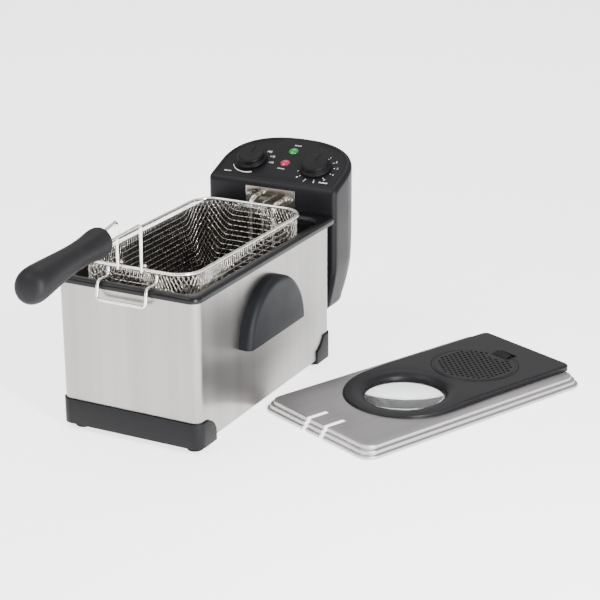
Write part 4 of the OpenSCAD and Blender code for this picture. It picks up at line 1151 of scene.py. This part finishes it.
class FRYER_OT_lid(bpy.types.Operator):
    """Lid: stepped steel pan with slots, plastic bezel with its window, and the pierced filter cover"""

    bl_idname = "fryer.lid"
    bl_label = "Lid"

    def execute(self, context):
        window_x, window_r, filter_x = -LID_L / 2 + 132, 45.0, -LID_L / 2 + 240

        def row(inset, z):
            """The lid's outline drawn in by inset, at the height z."""
            o = outline(-LID_L / 2 + inset, LID_L / 2 - inset, LID_W / 2 - inset, 16.0 - inset * 0.5, 12, 14)
            return lid_place(np.column_stack([o, np.full(len(o), z)]))

        def step(inset0, inset1, z0, z1, soft=1.4):
            """One rounded step: up the riser, round its shoulder, and in along its tread."""
            out = [row(inset0, z0)]
            for t in np.linspace(0, np.pi / 2, 5):
                out.append(row(inset0 + soft * (1 - math.cos(t)), z1 - soft + soft * math.sin(t)))
            out.append(row(inset1 - 0.3, z1))
            return out

        rows = step(0, 3, 0.1, 4, 1.5) + step(3, 6.5, 4.4, 8.5, 1.5) + step(6.5, 16, 8.9, 13, 1.8)
        rows += [row(25, 13.0)]
        pan = add_mesh("lid_pan", [loft(rows, close_last=True)], "lid", ["lid_shell"],
                       finish("lid"), 50)
        finish_mesh(pan, thickness=0.8)
        join_flat(pan.data)
        tools = [box_shape(-LID_L / 2 - 2, -LID_L / 2 + 33, s * 14.4 - 3.0, s * 14.4 + 3.0, -2, 20)
                 for s in (-1, 1)]
        cut(pan, tools, lid_place)
        cut(pan, [round_cut(window_x, 0, window_r + 7, 8.7, 20, 96),
                  round_cut(filter_x, 0, 46, 8.7, 20, 96)], lid_place)

        self.bezel(window_x, window_r, filter_x)
        self.pad()
        self.cover(filter_x)
        prof = [(0, 5.5), (49.6, 5.5), (50, 5.8), (50, 8.2), (49.6, 8.5), (0, 8.5)]
        p, f = lathe(prof, 96)
        add_mesh("window_pane", [(lid_place(p + [window_x, 0, 0]), f)],
                 "lid", ["window_glass"],
                 finish("glass"), 50)
        return {"FINISHED"}

    @staticmethod
    def bezel(window_x, window_r, filter_x):
        """Bezel skin from its outer edge to the window.

        Loops start on the plan (half circle in front, straight sides behind), come up over a rounded
        edge, run in a straight blend to a circle, and drop to the glass on a quarter ellipse.
        """
        outer_r, end = 69.0, LID_L / 2
        a = np.radians(np.linspace(90, 270, 61))
        front = np.stack([window_x + outer_r * np.cos(a), outer_r * np.sin(a)], -1)
        corner = 8.0
        c1 = np.radians(np.linspace(270, 360, 9))
        low = np.stack([end - corner + corner * np.cos(c1), -outer_r + corner + corner * np.sin(c1)], -1)
        c2 = np.radians(np.linspace(0, 90, 9))
        high = np.stack([end - corner + corner * np.cos(c2), outer_r - corner + corner * np.sin(c2)], -1)
        w = np.linspace(0, 1, 22)[1:-1, None]
        plan = np.concatenate([front, front[-1] * (1 - w) + low[0] * w, low,
                               low[-1] * (1 - w) + high[0] * w, high,
                               high[-1] * (1 - w) + front[0] * w])
        t = np.roll(plan, -1, 0) - np.roll(plan, 1, 0)
        t /= np.linalg.norm(t, axis=1, keepdims=True)
        n = np.stack([t[:, 1], -t[:, 0]], -1)
        ang = np.arctan2(plan[:, 1], plan[:, 0] - window_x)

        def top(x):
            """Height of the bezel: a gentle climb from the front to the flat rear part."""
            w = np.clip((x - (window_x - outer_r)) / (window_r + outer_r), 0, 1)
            return 15.2 + 4.7 * (w * w * (3 - 2 * w))

        rows = [np.column_stack([plan, np.full(len(plan), 13.0)])]
        soft = 2.2
        for s in np.linspace(0, np.pi / 2, 6):
            q = plan - n * soft * (1 - math.cos(s))
            rows.append(np.column_stack([q, np.maximum(top(q[:, 0]) - soft + soft * math.sin(s), 13.0)]))
        rim = plan - n * 4.0
        ring = np.stack([window_x + 61 * np.cos(ang), 61 * np.sin(ang)], -1)
        for s in (0.0, 0.25, 0.5, 0.75, 1.0):
            q = rim * (1 - s) + ring * s
            rows.append(np.column_stack([q, top(q[:, 0])]))
        for s in np.linspace(0, np.pi / 2, 13)[1:]:
            r = 61 - (61 - window_r) * math.sin(s)
            q = np.stack([window_x + r * np.cos(ang), r * np.sin(ang)], -1)
            z0 = top(ring[:, 0])
            rows.append(np.column_stack([q, 9.2 + (z0 - 9.2) * math.cos(s) ** 0.9]))
        under = np.stack([window_x + (window_r + 6.8) * np.cos(ang), (window_r + 6.8) * np.sin(ang)], -1)
        rows.append(np.column_stack([under, np.full(len(under), 9.1)]))
        rows.append(np.column_stack([under, np.full(len(under), 13.0)]))
        points, faces = loft(lid_place(rows))
        m = len(plan)
        k = np.arange(m)
        end_row = (len(rows) - 1) * m
        seam = np.stack([end_row + k, end_row + (k + 1) % m, (k + 1) % m, k], -1)
        bezel = add_mesh("window_bezel", [(points, np.concatenate([faces, seam]))], "lid", ["lid_bezel"],
                         finish("bezel"), 35)
        cut(bezel, [round_cut(filter_x, 0, 46, 10, 30, 96)], lid_place)
        cut(bezel, [round_cut(filter_x, 0, 50.4, 17.2, 30, 96)], lid_place)
        cut(bezel, [box_shape(filter_x + 40, filter_x + 56, -12.5, 12.5, 17.0, 30)], lid_place)

    @staticmethod
    def pad():
        """Filter pad: a felted disc with a rolled edge, its faces lumpy by two crossed sine waves."""
        low, high = (np.array(v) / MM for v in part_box("filter_pad"))
        centre, r, height = (low + high) / 2, (high[0] - low[0]) / 2 - 0.4, high[2] - low[2] - 0.6
        roll = np.linspace(-np.pi / 2, np.pi / 2, 13)
        edge = np.stack([r - 2.5 + 2.5 * np.cos(roll), height / 2 * np.sin(roll)], -1)
        flat = np.linspace(0, r - 2.5, 14)[:-1]
        below = np.stack([flat, np.full(13, -height / 2)], -1)
        p, f = lathe(np.concatenate([below, edge, below[::-1] * [1, -1]]), 96)
        lump = 0.12 * np.sin(0.61 * p[:, 0]) * np.sin(0.53 * p[:, 1] + 0.7) - 0.12
        p[:, 2] += np.sign(p[:, 2]) * lump
        piece = add_mesh("fleece_pad", [((p + centre) * MM, f)], "lid", ["filter_pad"],
                         finish("fleece"), 60)

    @staticmethod
    def cover(filter_x):
        """Filter cover: a turned disc with a rounded edge and a groove, pierced on a triangular grid."""
        base, thick = 18.56, 1.84
        prof = [(0, 0), (49.4, 0), (49.85, 0.4), (49.85, 1.3), (49.4, 1.75), (48.2, thick),
                (47.6, 1.4), (46.9, 1.4),
                (46.4, thick), (0, thick)]
        p, f = lathe(prof, 128)
        p = p + [filter_x, 0, base]
        cover = add_mesh("pierced_cover", [(lid_place(p), f)], "cover", ["filter_cover"],
                         finish("bezel"), 35)
        join_flat(cover.data)
        step = 6.3
        i, j = np.meshgrid(np.arange(-9, 10), np.arange(-9, 10), indexing="ij")
        x, y = (i + j / 2) * step, j * step * math.sqrt(3) / 2
        keep = (np.hypot(x, y) < 43.5) & ~((x > 31) & (np.abs(y) < 15.5))
        holes = np.stack([filter_x + x[keep], y[keep]], -1)
        rings = prism(holes, 1.95, base - 1, base + 3, 12)
        cut(cover, [(r, prism_faces(12)) for r in rings], lid_place)
        u = np.linspace(-1, 1, 9)
        xx, yy = np.meshgrid(u, u, indexing="ij")
        lift = 3.6 * (1 - 0.25 * yy**2) * (0.55 + 0.45 * xx)
        top = np.stack([filter_x + 42.5 + 5 * xx, 11.5 * yy, base + thick + lift], -1)
        low = np.stack([filter_x + 42.5 + 5 * xx, 11.5 * yy, np.full(xx.shape, base + 1.2)], -1)
        points = np.concatenate([top.reshape(-1, 3), low.reshape(-1, 3)])
        faces = [grid_faces(9, 9), grid_faces(9, 9)[:, ::-1] + 81]
        edge = np.concatenate([np.arange(0, 9), np.arange(17, 81, 9), np.arange(79, 71, -1),
                               np.arange(63, 0, -9)])
        nxt = np.roll(edge, -1)
        faces.append(np.stack([edge, nxt, nxt + 81, edge + 81], -1)[:, ::-1])
        # The tab is given the black knob plastic, darker than the cover: painted shade standing for the dark
        # notch at the cover's rim.
        tab = add_mesh("finger_tab", [(lid_place(points), np.concatenate(faces))],
                       "cover", [],
                       finish("knob"), 50)
        bm = bmesh.new()
        bm.from_mesh(tab.data)
        bmesh.ops.recalc_face_normals(bm, faces=bm.faces)
        bm.to_mesh(tab.data)
        bm.free()
        finish_mesh(tab, bevel=0.7, segments=3)


class FRYER_OT_node_finishes(bpy.types.Operator):
    """Finishes for the carried-over solids"""

    bl_idname = "fryer.node_finishes"
    bl_label = "Finishes of the small parts"

    def execute(self, context):
        table = {
            "sheet": ["base_plate", "element_bracket", "window_retainer"],
            "screw": ["base_screws", "handle_screws", "rail_rivets", "cover_screws",
                      "lid_screws", "inlet_pins",
                      "thermostat_shaft", "timer_shaft"],
            "plate": ["thermostat_body"],
            "ivory": ["timer_body", "terminal_block"],
            "heater": ["heating_element"],
            "capillary": ["thermostat_bulb"],
            "head": ["head_base_cover", "safety_switch", "power_inlet"],
            "resin": ["thermal_cutout"],
            "red": ["reset_button", "switch_plunger"],
            "lamp": ["lamp_bulbs"],
            "rubber": ["window_gasket"],
            "trim": ["filter_tray"],
        }
        for key, names in table.items():
            for name in names:
                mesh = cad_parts[name].data
                mesh.materials.clear()
                mesh.materials.append(finish(key))
        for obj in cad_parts.values():
            if not obj.hide_render:
                obj.data.shade_smooth()
                obj.data.set_sharp_from_angle(angle=math.radians(35))
        return {"FINISHED"}


class FRYER_OT_stage(bpy.types.Operator):
    """Pale floor, soft lights and the camera"""

    bl_idname = "fryer.stage"
    bl_label = "Stage"

    def execute(self, context):
        scene = context.scene
        tone = scene.fryer_looks.floor_tone
        mesh = bpy.data.meshes.new("floor")
        s = 14.0
        mesh.from_pydata([(-s, -s, 0), (s, -s, 0), (s, s, 0), (-s, s, 0)], [], [(0, 1, 2, 3)])
        floor = bpy.data.objects.new("floor", mesh)
        scene.collection.objects.link(floor)
        mat, tree, out, at = start_finish("pale_floor")
        bsdf = add_node(tree, "ShaderNodeBsdfPrincipled", {
            "Base Color": (tone, tone, tone, 1), "Roughness": 0.8,
            "Emission Color": (1, 1, 1, 1), "Emission Strength": 2.3})
        tree.links.new(bsdf.outputs["BSDF"], out.inputs["Surface"])
        mesh.materials.append(mat)

        world = bpy.data.worlds.new("studio")
        scene.world = world
        world.use_nodes = True
        tree = world.node_tree
        tree.nodes.clear()
        glow = add_node(tree, "ShaderNodeBackground", {"Color": (1, 1, 1, 1), "Strength": 0.75})
        sky = tree.nodes.new("ShaderNodeOutputWorld")
        tree.links.new(glow.outputs["Background"], sky.inputs["Surface"])

        centre = Vector(HOME) + Vector((0.05, -0.1, 0.1))
        corner = Vector(fryer((-HX, -HY, 0)))
        lights = [("key", centre, (-1.2, 0.9, 1.9), (1.3, 1.3), 30),
                  ("side", centre, (-0.4, -2.0, 1.2), (1.2, 1.2), 8),
                  ("back", centre, (1.0, 0.6, 2.4), (1.6, 1.6), 18),
                  ("corner_strip", corner, (-0.52, -1.0, 0.5), (0.10, 1.1), 34)]
        for name, target, offset, size, power in lights:
            data = bpy.data.lights.new(name, "AREA")
            data.shape = "RECTANGLE"
            data.size, data.size_y = size
            data.energy = power
            lamp = bpy.data.objects.new(name, data)
            scene.collection.objects.link(lamp)
            lamp.location = target + Vector(offset)
            lamp.rotation_euler = (-Vector(offset)).to_track_quat("-Z", "Y").to_euler()

        heading, dip, roll = 0.47837, 0.34659, -0.00426
        look = Vector((math.cos(heading) * math.cos(dip), math.sin(heading) * math.cos(dip), -math.sin(dip)))
        right = look.cross(Vector((0, 0, 1))).normalized()
        up = right.cross(look)
        right, up = right * math.cos(roll) + up * math.sin(roll), up * math.cos(roll) - right * math.sin(roll)
        data = bpy.data.cameras.new("camera")
        data.sensor_width = 36.0
        data.lens = 102.742
        data.clip_end = 100
        camera = bpy.data.objects.new("camera", data)
        scene.collection.objects.link(camera)
        turn = Matrix((right, up, -look)).transposed().to_4x4()
        camera.matrix_world = Matrix.Translation(Vector(fryer((-1541.77, -923.60, 758.42)))) @ turn
        scene.camera = camera
        return {"FINISHED"}


class FRYER_PT_side(bpy.types.Panel):
    """Sidebar panel that lists the steps"""

    bl_idname = "FRYER_PT_side"
    bl_label = "Deep fryer"
    bl_space_type = "VIEW_3D"
    bl_region_type = "UI"
    bl_category = "Fryer"

    def draw(self, context):
        look = context.scene.fryer_looks
        for name in look.bl_rna.properties.keys():
            if name not in ("rna_type", "name"):
                self.layout.prop(look, name)
        for cls in STEPS:
            self.layout.operator(cls.bl_idname)


STEPS = (FRYER_OT_housing, FRYER_OT_pot, FRYER_OT_basket, FRYER_OT_basket_handle, FRYER_OT_head, FRYER_OT_lid,
         FRYER_OT_node_finishes, FRYER_OT_stage)
CLASSES = (FryerLooks,) + STEPS + (FRYER_PT_side,)


def register():
    """Registers the classes and puts the settings on the scene."""
    for cls in CLASSES:
        bpy.utils.register_class(cls)
    bpy.types.Scene.fryer_looks = bpy.props.PointerProperty(type=FryerLooks)


def unregister():
    """Takes the settings and the classes away again."""
    del bpy.types.Scene.fryer_looks
    for cls in reversed(CLASSES):
        bpy.utils.unregister_class(cls)


def main():
    """Builds everything in order."""
    register()
    bpy.ops.fryer.housing()
    bpy.ops.fryer.pot()
    bpy.ops.fryer.basket()
    bpy.ops.fryer.basket_handle()
    bpy.ops.fryer.head()
    bpy.ops.fryer.lid()
    bpy.ops.fryer.node_finishes()
    bpy.ops.fryer.stage()


if __name__ == "__main__":
    main()
